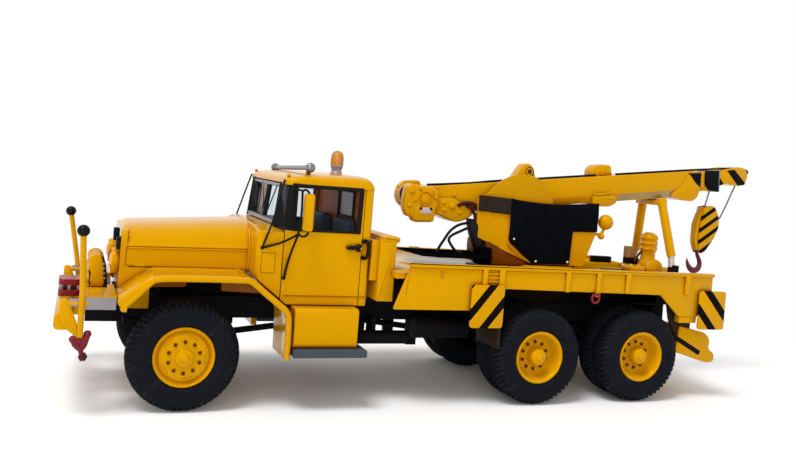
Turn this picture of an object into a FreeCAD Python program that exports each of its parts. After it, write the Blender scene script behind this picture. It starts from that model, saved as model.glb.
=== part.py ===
import FreeCAD, Part
import math
import os

# Scale model of a six-wheel-drive recovery crane truck, one fiftieth of full size.
# Lengths are millimetres on the model. X runs from the front axle to the rear, Z is up
# from the floor, and the truck's left side lies on -Y.

# Driving dimensions
tyre_radius = 10.9
tyre_width = 5.8
rim_radius = 5.9
front_tyre_face = 22.0
rear_tyre_face = 24.4
twin_gap = 0.8
mid_axle_x = 77.4
rear_axle_x = 104.9
turret_x = 87.0
rail_outer = 8.6
rail_bottom = 16.4
rail_top = 21.0
rail_front_x = -16.6
rail_rear_x = 122.0
bed_half_width = 24.9
bed_front_x = 41.4
bed_rear_x = 123.8
bed_top = 30.4
deck_top = 29.2
cab_half_width = 19.6
cab_front_x = 18.2
cab_rear_x = 36.8
cab_bottom = 21.2
cab_top = 47.8
hood_half_width = 12.4
hood_front_x = -11.4
cowl_x = 12.8
fender_half_width = 24.2
fender_top = 27.2
boom_incline = 7.0
boom_pivot_x = 80.0
boom_pivot_z = 46.4
boom_tail_x = 52.0
boom_end_x = 133.0
boom_tip_x = 151.2
boom_half_width = 4.0
boom_depth = 6.8
running_clearance = 0.3
pin_clearance = 0.08
cut_overrun = 2.0
sheet = 0.9

node_shapes = {}


def block(x0, x1, y0, y1, z0, z1):
    """Return the box between two opposite corners."""
    corner = FreeCAD.Vector(min(x0, x1), min(y0, y1), min(z0, z1))
    return Part.makeBox(abs(x1 - x0), abs(y1 - y0), abs(z1 - z0), corner)


def side_plate(points, y0, y1):
    """Return an outline of (x, z) points carried from y0 to y1."""
    ring = [FreeCAD.Vector(x, y0, z) for x, z in points]
    face = Part.Face(Part.makePolygon(ring + ring[:1]))
    return face.extrude(FreeCAD.Vector(0, y1 - y0, 0))


def plan_plate(points, z0, z1):
    """Return an outline of (x, y) points carried from z0 to z1."""
    ring = [FreeCAD.Vector(x, y, z0) for x, y in points]
    face = Part.Face(Part.makePolygon(ring + ring[:1]))
    return face.extrude(FreeCAD.Vector(0, 0, z1 - z0))


def cross_plate(points, x0, x1):
    """Return an outline of (y, z) points carried from x0 to x1."""
    ring = [FreeCAD.Vector(x0, y, z) for y, z in points]
    face = Part.Face(Part.makePolygon(ring + ring[:1]))
    return face.extrude(FreeCAD.Vector(x1 - x0, 0, 0))


def bar(start, end, radius):
    """Return a round bar from one point to another."""
    a = FreeCAD.Vector(*start)
    run = FreeCAD.Vector(*end) - a
    return Part.makeCylinder(radius, run.Length, a, run)


def wire_run(points, radius):
    """Return a round wire through points, with a ball at each bend."""
    pieces = [bar(a, b, radius) for a, b in zip(points, points[1:])]
    pieces += [Part.makeSphere(radius, FreeCAD.Vector(*p)) for p in points[1:-1]]
    return joined(pieces)


def turned(profile, x, y, inward):
    """Turn an outline of (radius, depth) about a wheel's axle; depth runs inward along Y."""
    ring = [FreeCAD.Vector(x + r, y + inward * d, 0) for r, d in profile]
    face = Part.Face(Part.makePolygon(ring + ring[:1]))
    return face.revolve(FreeCAD.Vector(x, y, 0), FreeCAD.Vector(0, 1, 0), 360)


def mirrored(shape):
    """Return the copy of a shape on the truck's other side."""
    return shape.mirror(FreeCAD.Vector(0, 0, 0), FreeCAD.Vector(0, 1, 0))


def joined(pieces):
    """Fuse pieces into one solid where they meet."""
    whole = pieces[0]
    if len(pieces) > 1:
        whole = whole.fuse(pieces[1:])
    return whole.removeSplitter()


def both(shape):
    """Return a shape and its mirror copy as one group."""
    return Part.makeCompound([shape, mirrored(shape)])


def strip(points, thickness):
    """Return the closed outline of a bent sheet whose outer line runs through points."""
    inner = []
    for i, (x, z) in enumerate(points):
        before = points[max(i - 1, 0)]
        after = points[min(i + 1, len(points) - 1)]
        a = unit_normal(before, (x, z)) if i > 0 else unit_normal((x, z), after)
        b = unit_normal((x, z), after) if i < len(points) - 1 else a
        scale = 1 + a[0] * b[0] + a[1] * b[1]
        inner.append((x + thickness * (a[0] + b[0]) / scale, z + thickness * (a[1] + b[1]) / scale))
    return list(points) + inner[::-1]


def unit_normal(start, end):
    """Return the unit normal on the right of a run in the (x, z) plane."""
    dx = end[0] - start[0]
    dz = end[1] - start[1]
    length = math.hypot(dx, dz)
    return dz / length, -dx / length


def round_edges(shape, radius, wanted):
    """Round the edges that the test picks."""
    edges = [e for e in shape.Edges if wanted(e)]
    return shape.makeFillet(radius, edges)


def along(edge, axis):
    """Say whether a straight edge runs along an axis of the model."""
    run = edge.Vertexes[-1].Point - edge.Vertexes[0].Point
    parallel_share = 0.999999
    return run.Length > 0 and abs(run.dot(axis)) / run.Length > parallel_share


X = FreeCAD.Vector(1, 0, 0)
Y = FreeCAD.Vector(0, 1, 0)
Z = FreeCAD.Vector(0, 0, 1)

# Chassis: two rails with cross members
rail_width = 1.6
cross_length = 2.4
cross_height = 2.6
cross_shares = (0.03, 0.24, 0.42, 0.58, 0.80, 0.985)
rail = block(rail_front_x, rail_rear_x, rail_outer - rail_width, rail_outer, rail_bottom, rail_top)
rail_length = rail_rear_x - rail_front_x
members = [
    block(
        rail_front_x + share * rail_length - cross_length / 2,
        rail_front_x + share * rail_length + cross_length / 2,
        -rail_outer + rail_width / 2,
        rail_outer - rail_width / 2,
        rail_top - cross_height,
        rail_top - sheet,
    )
    for share in cross_shares
]
horn_front_x = -18.2
horn_rear_x = -11.3
horn_bottom = 15.4
hanger_front_x = 50.8
hanger_rear_x = 53.2
hanger_bottom = 10.6
horn = block(horn_front_x, horn_rear_x, rail_outer - rail_width, rail_outer, horn_bottom, rail_top)
shaft_hanger = block(
    hanger_front_x, hanger_rear_x, rail_outer - rail_width, rail_outer, hanger_bottom, rail_top
)
fittings = [horn, mirrored(horn), shaft_hanger, mirrored(shaft_hanger)]
node_shapes["frame_rails"] = joined([rail, mirrored(rail)] + members + fittings)

# Wheels: one tyre on a convex disc in front, two tyres on a dished rim behind
tyre_shoulder = 1.3
tyre_bead = 0.7
rim_wall = 0.8
hub_radius = 1.9
hub_proud = 0.9
bore_radius = 1.0
dish_depth = 3.2
disc_wall = 0.9


def tyre(x, outer_y, inward):
    """One tyre: rounded shoulders and walls that step in to the bead."""
    r, w, s, b = tyre_radius, tyre_width, tyre_shoulder, tyre_bead
    wall_r = rim_radius + b
    profile = [
        (rim_radius, b),
        (wall_r, 0),
        (r - s - b, 0),
        (r - s / 3, s / 2),
        (r, s),
        (r, w - s),
        (r - s / 3, w - s / 2),
        (r - s - b, w),
        (wall_r, w),
        (rim_radius, w - b),
    ]
    return turned(profile, x, outer_y, inward)


def front_rim(x, outer_y, inward):
    """The front disc bulges out of the tyre and carries the hub cap."""
    depth = tyre_width - tyre_bead
    profile = [
        (bore_radius, -hub_proud + disc_wall),
        (0, -hub_proud + disc_wall),
        (0, -hub_proud),
        (hub_radius * 0.7, -hub_proud),
        (hub_radius, -hub_proud / 3),
        (hub_radius, disc_wall / 2),
        (rim_radius - rim_wall * 2, disc_wall),
        (rim_radius - rim_wall, disc_wall * 2),
        (rim_radius - rim_wall, tyre_bead / 2),
        (rim_radius, tyre_bead / 2),
        (rim_radius, depth),
        (rim_radius - rim_wall, depth),
        (rim_radius - rim_wall, disc_wall * 3),
        (hub_radius + rim_wall, disc_wall * 2.4),
        (hub_radius + rim_wall, depth),
        (bore_radius, depth),
    ]
    return turned(profile, x, outer_y, inward)


def rear_rim(x, outer_y, inward):
    """The rear rim is a deep dish that both tyres sit on, with the hub standing out of it."""
    depth = tyre_width * 2 + twin_gap - tyre_bead
    profile = [
        (0, disc_wall),
        (0, 0),
        (hub_radius * 0.8, 0),
        (hub_radius, disc_wall / 2),
        (hub_radius, dish_depth),
        (rim_radius - rim_wall, dish_depth),
        (rim_radius - rim_wall, tyre_bead / 2),
        (rim_radius, tyre_bead / 2),
        (rim_radius, depth),
        (rim_radius - rim_wall, depth),
        (rim_radius - rim_wall, dish_depth + disc_wall),
        (hub_radius + rim_wall, dish_depth + disc_wall),
        (hub_radius + rim_wall, depth),
        (bore_radius, depth),
        (bore_radius, disc_wall),
    ]
    return turned(profile, x, outer_y, inward)


for side, inward in (("left", 1), ("right", -1)):
    face = -inward * front_tyre_face
    node_shapes["tyre_front_" + side] = tyre(0, face, inward)
    node_shapes["rim_front_" + side] = front_rim(0, face, inward)
    face = -inward * rear_tyre_face
    second = face + inward * (tyre_width + twin_gap)
    for place, x in (("mid", mid_axle_x), ("rear", rear_axle_x)):
        pair = [tyre(x, face, inward), tyre(x, second, inward)]
        node_shapes["tyres_" + place + "_" + side] = Part.makeCompound(pair)
        node_shapes["rim_" + place + "_" + side] = rear_rim(x, face, inward)

# Axles with their springs: the spindles end in the wheels' bores
spindle_radius = bore_radius - pin_clearance
axle_radius = 1.5
diff_radius = 3.2
diff_length = 4.6
spring_width = 1.6
spring_half_length = 11.0
spring_y = rail_outer - rail_width / 2
spring_leaf = 1.2
knuckle_radius = 1.9
front_axle_end = front_tyre_face - tyre_width - running_clearance
front_spindle_end = front_tyre_face + hub_proud - disc_wall - running_clearance
rear_axle_end = rear_tyre_face - 2 * tyre_width - twin_gap - running_clearance
rear_spindle_end = rear_tyre_face - disc_wall - running_clearance


def axle_beam(x, beam_end, spindle_end):
    """A driven axle: beam, bowl for the gears and a spindle at each end."""
    beam = bar((x, -beam_end, 0), (x, beam_end, 0), axle_radius)
    spindle = bar((x, -spindle_end, 0), (x, spindle_end, 0), spindle_radius)
    bowl = Part.makeSphere(diff_radius, FreeCAD.Vector(x, 0, 0))
    nose = bar((x - diff_length, 0, 0), (x + diff_length, 0, 0), diff_radius / 2)
    return [beam, spindle, bowl, nose]


def leaf_spring(x, seat_z, end_z):
    """A bent leaf pack from the axle's seat up to the rail, and its clamp."""
    half = spring_half_length
    outer = [
        (x - half, end_z),
        (x - half / 2, seat_z + (end_z - seat_z) / 3),
        (x, seat_z),
        (x + half / 2, seat_z + (end_z - seat_z) / 3),
        (x + half, end_z),
    ]
    upper = [(px, pz + spring_leaf) for px, pz in outer]
    y0 = spring_y - spring_width / 2
    leaf = side_plate(outer + upper[::-1], y0, y0 + spring_width)
    clamp = block(x - spring_leaf, x + spring_leaf, y0, y0 + spring_width, 0, seat_z + spring_leaf)
    return [leaf, clamp]


front_seat_z = axle_radius + spring_leaf / 2
front_end_z = rail_bottom - tyre_radius - spring_leaf
front_parts = axle_beam(0, front_axle_end, front_spindle_end)
for piece in leaf_spring(0, front_seat_z, front_end_z):
    front_parts += [piece, mirrored(piece)]
knuckle = bar(
    (0, front_axle_end - knuckle_radius, 0),
    (0, front_axle_end, 0),
    knuckle_radius,
)
front_parts += [knuckle, mirrored(knuckle)]
front_axle = joined(front_parts)
front_axle.translate(FreeCAD.Vector(0, 0, tyre_radius))
node_shapes["front_axle"] = front_axle

bogie_x = (mid_axle_x + rear_axle_x) / 2
bogie_half = (rear_axle_x - mid_axle_x) / 2
bogie_parts = []
for x in (mid_axle_x, rear_axle_x):
    bogie_parts += axle_beam(x, rear_axle_end, rear_spindle_end)
bogie_top = rail_bottom - tyre_radius
bogie_outline = [
    (bogie_x - bogie_half, axle_radius / 2),
    (bogie_x - bogie_half / 2, axle_radius / 2 + spring_leaf),
    (bogie_x, bogie_top - spring_leaf),
    (bogie_x + bogie_half / 2, axle_radius / 2 + spring_leaf),
    (bogie_x + bogie_half, axle_radius / 2),
    (bogie_x + bogie_half / 2, axle_radius + 2 * spring_leaf),
    (bogie_x, bogie_top),
    (bogie_x - bogie_half / 2, axle_radius + 2 * spring_leaf),
]
bogie_spring = side_plate(bogie_outline, spring_y - spring_width / 2, spring_y + spring_width / 2)
trunnion_drop = 3.0
trunnion = bar(
    (bogie_x, -rail_outer, -trunnion_drop), (bogie_x, rail_outer, -trunnion_drop), axle_radius * 0.8
)
bogie_hanger = block(
    bogie_x - spring_leaf,
    bogie_x + spring_leaf,
    spring_y - spring_width / 2,
    spring_y + spring_width / 2,
    -trunnion_drop - axle_radius / 2,
    bogie_top,
)
bogie_parts += [bogie_spring, mirrored(bogie_spring), trunnion, bogie_hanger, mirrored(bogie_hanger)]
rear_bogie = joined(bogie_parts)
rear_bogie.translate(FreeCAD.Vector(0, 0, tyre_radius))
node_shapes["rear_bogie"] = rear_bogie

# Driveline: transfer box under the cab and the shafts to the three axles
shaft_radius = 0.7
transfer_x = 38.0
transfer_length = 8.0
transfer_half_width = 4.2
transfer_bottom = 10.6
transfer_box = block(
    transfer_x - transfer_length / 2,
    transfer_x + transfer_length / 2,
    -transfer_half_width,
    transfer_half_width,
    transfer_bottom,
    rail_bottom + sheet,
)
shaft_z = tyre_radius
transfer_front = transfer_x - transfer_length / 2
transfer_rear = transfer_x + transfer_length / 2
shaft_inset = sheet / 2
front_shaft = bar(
    (diff_length + running_clearance, 0, shaft_z),
    (transfer_front + shaft_inset, 0, transfer_bottom + transfer_half_width),
    shaft_radius,
)
rear_shaft = bar(
    (transfer_rear - shaft_inset, 0, transfer_bottom + transfer_half_width),
    (mid_axle_x - diff_length - running_clearance, 0, shaft_z),
    shaft_radius,
)
node_shapes["driveline"] = joined([transfer_box, front_shaft, rear_shaft])
link_shaft = bar(
    (mid_axle_x + diff_length + running_clearance, 0, shaft_z),
    (rear_axle_x - diff_length - running_clearance, 0, shaft_z),
    shaft_radius,
)
node_shapes["driveline"] = Part.makeCompound([node_shapes["driveline"], link_shaft])

# Engine: one plain block between the rails, under the bonnet
engine_half_width = 5.8
engine_front = -4.0
engine_rear = 12.0
engine_bottom = 17.4
engine_top = 32.4
node_shapes["engine_block"] = block(
    engine_front, engine_rear, -engine_half_width, engine_half_width, engine_bottom, engine_top
)

# Bonnet: side walls, a shoulder and a crowned top, one sheet thick
hood_bottom = 27.2
hood_shoulder = 31.8
hood_front_top = 35.4
hood_rear_top = 37.2
hood_bevel = 1.9
hood_round = 1.4


def hood_section(x, half, bottom, shoulder, top, bevel):
    """One cross-section of the bonnet as a closed wire."""
    points = [
        (-half, bottom),
        (-half, shoulder),
        (-half + bevel, top),
        (half - bevel, top),
        (half, shoulder),
        (half, bottom),
    ]
    ring = [FreeCAD.Vector(x, y, z) for y, z in points]
    return Part.makePolygon(ring + ring[:1])


hood_outside = Part.makeLoft(
    [
        hood_section(
            hood_front_x, hood_half_width, hood_bottom, hood_shoulder, hood_front_top, hood_bevel
        ),
        hood_section(cowl_x, hood_half_width, hood_bottom, hood_shoulder, hood_rear_top, hood_bevel),
    ],
    True,
    True,
)
hood_inside = Part.makeLoft(
    [
        hood_section(
            hood_front_x - cut_overrun,
            hood_half_width - sheet,
            hood_bottom - cut_overrun,
            hood_shoulder - sheet,
            hood_front_top - sheet - hood_round,
            hood_bevel,
        ),
        hood_section(
            cowl_x + cut_overrun,
            hood_half_width - sheet,
            hood_bottom - cut_overrun,
            hood_shoulder - sheet,
            hood_rear_top - sheet - hood_round,
            hood_bevel,
        ),
    ],
    True,
    True,
)
hood_outside = round_edges(
    hood_outside,
    hood_round,
    lambda e: e.BoundBox.XLength > cowl_x and e.BoundBox.ZMin > hood_shoulder + sheet,
)
node_shapes["hood"] = hood_outside.cut(hood_inside)

# Grille shell in front of the bonnet, with its bars
grille_depth = 1.2
cheek_bottom = 18.8
grille_bottom = rail_top + running_clearance / 3
grille_top = 34.4
grille_border = 1.8
grille_bar = 0.5
grille_bars = 9
shell = block(
    hood_front_x - grille_depth,
    hood_front_x,
    -hood_half_width,
    hood_half_width,
    grille_bottom,
    grille_top,
)
window_half = hood_half_width - grille_border * 1.6
window = block(
    hood_front_x - grille_depth - cut_overrun,
    hood_front_x + cut_overrun,
    -window_half,
    window_half,
    grille_bottom + grille_border,
    grille_top - grille_border,
)
pitch = 2 * window_half / (grille_bars + 1)
bars = [
    block(
        hood_front_x - grille_depth,
        hood_front_x - grille_depth / 2,
        -window_half + (i + 1) * pitch - grille_bar / 2,
        -window_half + (i + 1) * pitch + grille_bar / 2,
        grille_bottom + grille_border - grille_bar,
        grille_top - grille_border + grille_bar,
    )
    for i in range(grille_bars)
]
shell = round_edges(
    shell.cut(window), hood_round, lambda e: along(e, X) and e.BoundBox.ZMin > grille_top - sheet
)
cheek = block(
    hood_front_x,
    hood_front_x + grille_depth * 4,
    hood_half_width - sheet,
    hood_half_width,
    cheek_bottom,
    hood_bottom,
)
node_shapes["grille"] = joined([shell, cheek, mirrored(cheek)] + bars)

# Headlamps on the grille's front
lamp_radius = 2.5
lamp_depth = 2.0
lamp_y = 9.4
lamp_z = 27.9
lamp_front = hood_front_x - grille_depth
lamp = bar((lamp_front - lamp_depth, lamp_y, lamp_z), (lamp_front, lamp_y, lamp_z), lamp_radius)
node_shapes["headlamps"] = both(lamp)

# Wings: a bent sheet over each front wheel that runs down behind it to the step
fender_nose_x = -12.4
fender_nose_z = 20.4
fender_crown_front = -7.2
fender_crown_rear = 11.7
fender_slope_x = 19.3
fender_slope_z = 21.3
fender_heel_x = 20.1
fender_heel_z = 20.0
fender_end_x = 20.3
fender_end_z = 10.8
fender_outline = [
    (fender_nose_x, fender_nose_z),
    (fender_crown_front, fender_top),
    (fender_crown_rear, fender_top),
    (fender_slope_x, fender_slope_z),
    (fender_heel_x, fender_heel_z),
    (fender_end_x, fender_end_z),
]
fender_inner = hood_half_width + running_clearance / 3
fender = side_plate(strip(fender_outline, sheet), fender_inner, fender_half_width)
fender = round_edges(fender, sheet * 0.45, lambda e: e.BoundBox.YMin > fender_half_width - sheet / 2)
node_shapes["wings"] = both(fender)

# Boxes under the doors, behind the wings, and the step plates below them
side_box_front = fender_end_x + sheet / 2
side_box_rear = 34.3
side_box_inner = 13.4
side_box_bottom = 12.9
side_box_top = cab_bottom - running_clearance / 3
side_box = block(
    side_box_front,
    side_box_rear,
    side_box_inner,
    fender_half_width - sheet,
    side_box_bottom,
    side_box_top,
)
side_box = round_edges(
    side_box, sheet, lambda e: along(e, X) and e.BoundBox.YMin > side_box_inner + sheet
)
node_shapes["side_boxes"] = both(side_box)
step_front = side_box_front
step_rear = side_box_rear + sheet * 2.1
step_thickness = 1.6
step = block(
    step_front,
    step_rear,
    side_box_inner + sheet,
    bed_half_width,
    side_box_bottom - step_thickness,
    side_box_bottom,
)
node_shapes["step_plates"] = both(step)

# Cab floor with the firewall and the cowl that meets the bonnet
floor_top = 23.6
cowl_shoulder = 36.0
cowl_inner_half = hood_half_width + sheet
cowl_top = 37.0
cowl_points = [
    (-cab_half_width, cab_bottom),
    (-cab_half_width, cowl_shoulder),
    (-cowl_inner_half, cowl_top),
    (cowl_inner_half, cowl_top),
    (cab_half_width, cowl_shoulder),
    (cab_half_width, cab_bottom),
]
cowl = cross_plate(cowl_points, cowl_x, cab_front_x)
cowl = round_edges(
    cowl,
    sheet * 0.7,
    lambda e: abs(e.BoundBox.YMin) > cab_half_width - sheet / 9
    and abs(e.BoundBox.YMax) > cab_half_width - sheet / 9
    and e.BoundBox.ZMax > cab_bottom + sheet
    and e.BoundBox.XMin < cab_front_x - sheet / 9,
)
tunnel_top = 29.0
tunnel = block(
    cowl_x - cut_overrun,
    cab_front_x - sheet,
    -hood_half_width + sheet * 2,
    hood_half_width - sheet * 2,
    cab_bottom - cut_overrun,
    tunnel_top,
)
cab_wall = 1.1
seam = 0.1
floor_half = cab_half_width - cab_wall - running_clearance / 3
floor_rear = cab_rear_x - cab_wall - running_clearance / 3
floor = block(cab_front_x - sheet, floor_rear, -floor_half, floor_half, cab_bottom, floor_top)
wing_room_outline = [(x + seam, z + seam) for x, z in fender_outline]
wing_room_outline.append((fender_nose_x, fender_end_z))
wing_room = side_plate(wing_room_outline, -fender_half_width, fender_half_width)
node_shapes["cab_floor"] = joined([cowl.cut(tunnel), floor]).cut(wing_room)

# Rear wall of the cab with its corner posts and window
sill_z = 36.4
lintel_z = 46.0
corner_depth = 1.9
rear_window_half = 10.4
rear_window_bottom = 38.0
rear_window_top = 44.6
rear_wall = block(
    cab_rear_x - cab_wall, cab_rear_x, -cab_half_width, cab_half_width, cab_bottom, lintel_z
)
corner = block(
    cab_rear_x - corner_depth,
    cab_rear_x,
    cab_half_width - cab_wall,
    cab_half_width,
    cab_bottom,
    lintel_z,
)
rear_window = block(
    cab_rear_x - cab_wall - cut_overrun,
    cab_rear_x + cut_overrun,
    -rear_window_half,
    rear_window_half,
    rear_window_bottom,
    rear_window_top,
)
rear_wall = joined([rear_wall, corner, mirrored(corner)]).cut(rear_window)
rear_wall = round_edges(
    rear_wall,
    sheet * 0.8,
    lambda e: along(e, Z)
    and e.BoundBox.XMin > cab_rear_x - sheet / 9
    and abs(e.BoundBox.YMin) > rear_window_half + cab_wall,
)
node_shapes["cab_rear_wall"] = rear_wall

# Doors: whole thickness, with the window cut
door_front = cab_front_x + seam
door_rear = cab_rear_x - corner_depth - seam
door_bottom = cab_bottom + seam
door_top = lintel_z
window_border = 1.0
door = block(
    door_front, door_rear, cab_half_width - cab_wall, cab_half_width, door_bottom, door_top
)
post_rear = 20.0
door_window = block(
    door_front - cut_overrun,
    door_rear - window_border,
    cab_half_width - cab_wall - cut_overrun,
    cab_half_width + cut_overrun,
    sill_z,
    door_top - window_border / 2,
)
post_room = block(
    door_front - cut_overrun,
    post_rear + seam,
    cab_half_width - cab_wall - cut_overrun,
    cab_half_width + cut_overrun,
    sill_z,
    door_top + cut_overrun,
)
handle_x = 33.8
handle_z = 33.4
handle = bar(
    (handle_x - sheet, cab_half_width + sheet / 3, handle_z),
    (handle_x + sheet, cab_half_width + sheet / 3, handle_z),
    sheet / 2,
)
door = joined([door.cut(door_window).cut(post_room).cut(wing_room), handle])
node_shapes["door_right"] = door
node_shapes["door_left"] = mirrored(door)

# Windscreen: a frame that leans back, with a corner post and a gusset out to each door
screen_depth = 1.1
screen_lean = 0.9
screen_half = 15.2
screen_border = 1.0
post_half = 0.45
gusset_rear = 22.2
gusset_top = 38.9
screen_front = cab_front_x - screen_depth
screen_bottom = cowl_top + seam
pane_bottom = screen_bottom + screen_border
pane_top = lintel_z - screen_border
pane_outer = screen_half - screen_border
frame_outline = [
    (screen_front, screen_bottom),
    (screen_front + screen_lean, lintel_z),
    (cab_front_x + screen_lean, lintel_z),
    (cab_front_x, screen_bottom),
]
screen = side_plate(frame_outline, -screen_half, screen_half)
for side in (1, -1):
    screen = screen.cut(
        block(
            screen_front - cut_overrun,
            cab_front_x + cut_overrun,
            side * post_half,
            side * pane_outer,
            pane_bottom,
            pane_top,
        )
    )
post_front = screen_front + screen_lean / 2
post_bend_y = cab_half_width - cab_wall * 1.4
post_plan = [
    (post_front, pane_outer),
    (post_front, screen_half),
    (cab_front_x, post_bend_y),
    (post_rear, cab_half_width),
    (post_rear, cab_half_width - cab_wall),
    (cab_front_x + cab_wall, screen_half),
    (cab_front_x + cab_wall, pane_outer),
]
corner_post = plan_plate(post_plan, sill_z + seam, lintel_z).cut(cowl)
gusset_outline = [
    (post_rear - sheet / 3, sill_z + seam),
    (gusset_rear, sill_z + seam),
    (post_rear, gusset_top),
    (post_rear - sheet / 3, gusset_top),
]
gusset = side_plate(gusset_outline, cab_half_width - cab_wall / 2 + seam, cab_half_width - seam)
screen = joined([screen, corner_post, mirrored(corner_post), gusset, mirrored(gusset)])
node_shapes["windscreen_frame"] = screen

# Roof: a shallow lid, round at its corners and lower along its front edge
roof_front = cab_front_x - sheet / 2
roof_rear = cab_rear_x
roof_half = cab_half_width + sheet / 3
roof_top = cab_top + sheet * 0.85
roof_brow_x = 20.4
roof_brow_z = 47.3
roof_heel_x = 35.2
roof_heel_z = 47.2
roof_corner = 2.4
roof_outline = [
    (roof_front, lintel_z + seam),
    (roof_front, roof_brow_z),
    (roof_brow_x, roof_top),
    (roof_heel_x, roof_top),
    (roof_rear, roof_heel_z),
    (roof_rear, lintel_z + seam),
]
roof_shoulder = 0.7
roof_section = [
    (-roof_half, lintel_z + seam),
    (-roof_half, roof_top - roof_shoulder),
    (-roof_half + roof_shoulder, roof_top),
    (roof_half - roof_shoulder, roof_top),
    (roof_half, roof_top - roof_shoulder),
    (roof_half, lintel_z + seam),
]
roof = block(roof_front, roof_rear, -roof_half, roof_half, lintel_z + seam, roof_top)
roof = round_edges(
    roof, roof_corner, lambda e: along(e, Z) and e.BoundBox.XMax < roof_front + sheet / 9
)
roof = roof.common(side_plate(roof_outline, -roof_half, roof_half))
roof = roof.common(cross_plate(roof_section, roof_front, roof_rear))
roof_room = block(
    cab_front_x + sheet,
    cab_rear_x - cab_wall - sheet,
    -cab_half_width + cab_wall + sheet,
    cab_half_width - cab_wall - sheet,
    lintel_z - cut_overrun,
    roof_brow_z - sheet,
)
node_shapes["cab_roof"] = roof.cut(roof_room)

# Window panes: windscreen halves, doors and rear wall
pane = 0.3
pane_gap = 0.05
panes = []
pane_low_x = screen_front + screen_depth / 2
pane_low_x += screen_lean * screen_border / (lintel_z - screen_bottom)
pane_high_x = screen_front + screen_depth / 2 + screen_lean
pane_high_x -= screen_lean * screen_border / (lintel_z - screen_bottom)
pane_outline = [
    (pane_low_x, pane_bottom + pane_gap),
    (pane_high_x, pane_top - pane_gap),
    (pane_high_x + pane, pane_top - pane_gap),
    (pane_low_x + pane, pane_bottom + pane_gap),
]
for side in (1, -1):
    panes.append(
        side_plate(
            pane_outline,
            side * (post_half + pane_gap),
            side * (pane_outer - pane_gap),
        )
    )
    panes.append(
        block(
            post_rear + seam + pane_gap,
            door_rear - window_border - pane_gap,
            side * (cab_half_width - cab_wall / 2),
            side * (cab_half_width - cab_wall / 2 - pane),
            sill_z + pane_gap,
            door_top - window_border / 2 - pane_gap,
        )
    )
panes.append(
    block(
        cab_rear_x - cab_wall / 2,
        cab_rear_x - cab_wall / 2 + pane,
        -rear_window_half + pane_gap,
        rear_window_half - pane_gap,
        rear_window_bottom + pane_gap,
        rear_window_top - pane_gap,
    )
)
node_shapes["window_panes"] = Part.makeCompound(panes)

# Seats: a cushion and a back for the driver and the mate
seat_y = 9.4
seat_half = 5.2
seat_front = 25.6
seat_cushion_top = 30.4
seat_back_front = 32.2
seat_back_top = 39.0
seat_rear = floor_rear - sheet
seat = joined(
    [
        block(
            seat_front,
            seat_rear,
            seat_y - seat_half,
            seat_y + seat_half,
            floor_top,
            seat_cushion_top,
        ),
        block(
            seat_back_front,
            seat_rear,
            seat_y - seat_half,
            seat_y + seat_half,
            floor_top,
            seat_back_top,
        ),
    ]
)
seat = round_edges(seat, sheet, lambda e: e.BoundBox.ZMin > floor_top + sheet)
node_shapes["seats"] = both(seat)

# Dashboard with the steering column and wheel
dash_depth = 2.2
dash_bottom = 30.6
dash_half = cab_half_width - cab_wall - sheet
dash = block(
    cab_front_x, cab_front_x + dash_depth, -dash_half, dash_half, dash_bottom, cowl_top - sheet
)
steering_x = 24.4
steering_y = -9.4
steering_z = 36.0
steering_lean = 42.0
steering_radius = 3.4
steering_rim = 0.35
steering_centre = FreeCAD.Vector(steering_x, steering_y, steering_z)
lean = math.radians(steering_lean)
steering_axis = FreeCAD.Vector(math.sin(lean), 0, math.cos(lean))
column_end = steering_centre - steering_axis * (steering_radius * 2)
column = bar(
    (column_end.x, column_end.y, column_end.z),
    (steering_centre.x, steering_centre.y, steering_centre.z),
    steering_rim * 1.2,
)
ring = Part.makeTorus(steering_radius, steering_rim, steering_centre, steering_axis)
spokes = [
    bar(
        (steering_centre.x, steering_y - steering_radius, steering_centre.z),
        (steering_centre.x, steering_y + steering_radius, steering_centre.z),
        steering_rim,
    )
]
node_shapes["dashboard"] = joined([dash, column, ring] + spokes)

# Mirrors: turned plates on wire brackets, braced to the cowl, the door's foot and the roof
stay_radius = 0.22
mirror_x = 22.0
mirror_reach = 3.4
mirror_y = cab_half_width + mirror_reach
mirror_bottom = 36.7
mirror_top = 44.3
mirror_depth = 0.7
mirror_half = 1.25
mirror_turn = 42.0
mirror_plate = block(
    mirror_x - mirror_depth / 2,
    mirror_x + mirror_depth / 2,
    mirror_y - mirror_half,
    mirror_y + mirror_half,
    mirror_bottom,
    mirror_top,
)
mirror_plate = round_edges(mirror_plate, mirror_depth / 3, lambda e: True)
mirror_plate.rotate(FreeCAD.Vector(mirror_x, mirror_y, 0), Z, -mirror_turn)
stay_face = cab_half_width - stay_radius / 2
bracket_x = 20.6
bracket_y = mirror_y - mirror_depth
bracket_low = 35.9
bracket_high = 44.9
cowl_foot = (13.9, stay_face, 32.7)
door_foot = (18.7, stay_face, 26.7)
stay_base = (bracket_x, bracket_y, bracket_low)
stay_head = (bracket_x, bracket_y, bracket_high)
mirror_low = (mirror_x, mirror_y, mirror_bottom + mirror_depth / 2)
mirror_high = (mirror_x, mirror_y, mirror_top - mirror_depth / 2)
post_hook = (post_rear - sheet, cab_half_width - cab_wall / 2, bracket_high - sheet / 2)
roof_hook = (roof_front - stay_radius / 2, cab_half_width - cab_wall, roof_brow_z - sheet / 2)
stays = [
    wire_run([mirror_low, stay_base, stay_head, mirror_high], stay_radius),
    bar(cowl_foot, stay_base, stay_radius),
    bar(door_foot, stay_base, stay_radius),
    bar(cowl_foot, roof_hook, stay_radius),
    bar(post_hook, stay_head, stay_radius),
]
cowl_boss = Part.makeSphere(stay_radius * 2, FreeCAD.Vector(*cowl_foot))
mirror = joined([mirror_plate, cowl_boss] + stays).cut(cowl).cut(screen).cut(node_shapes["cab_roof"])
mirror = mirror.cut(node_shapes["door_right"])
node_shapes["mirrors"] = both(mirror)

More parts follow.
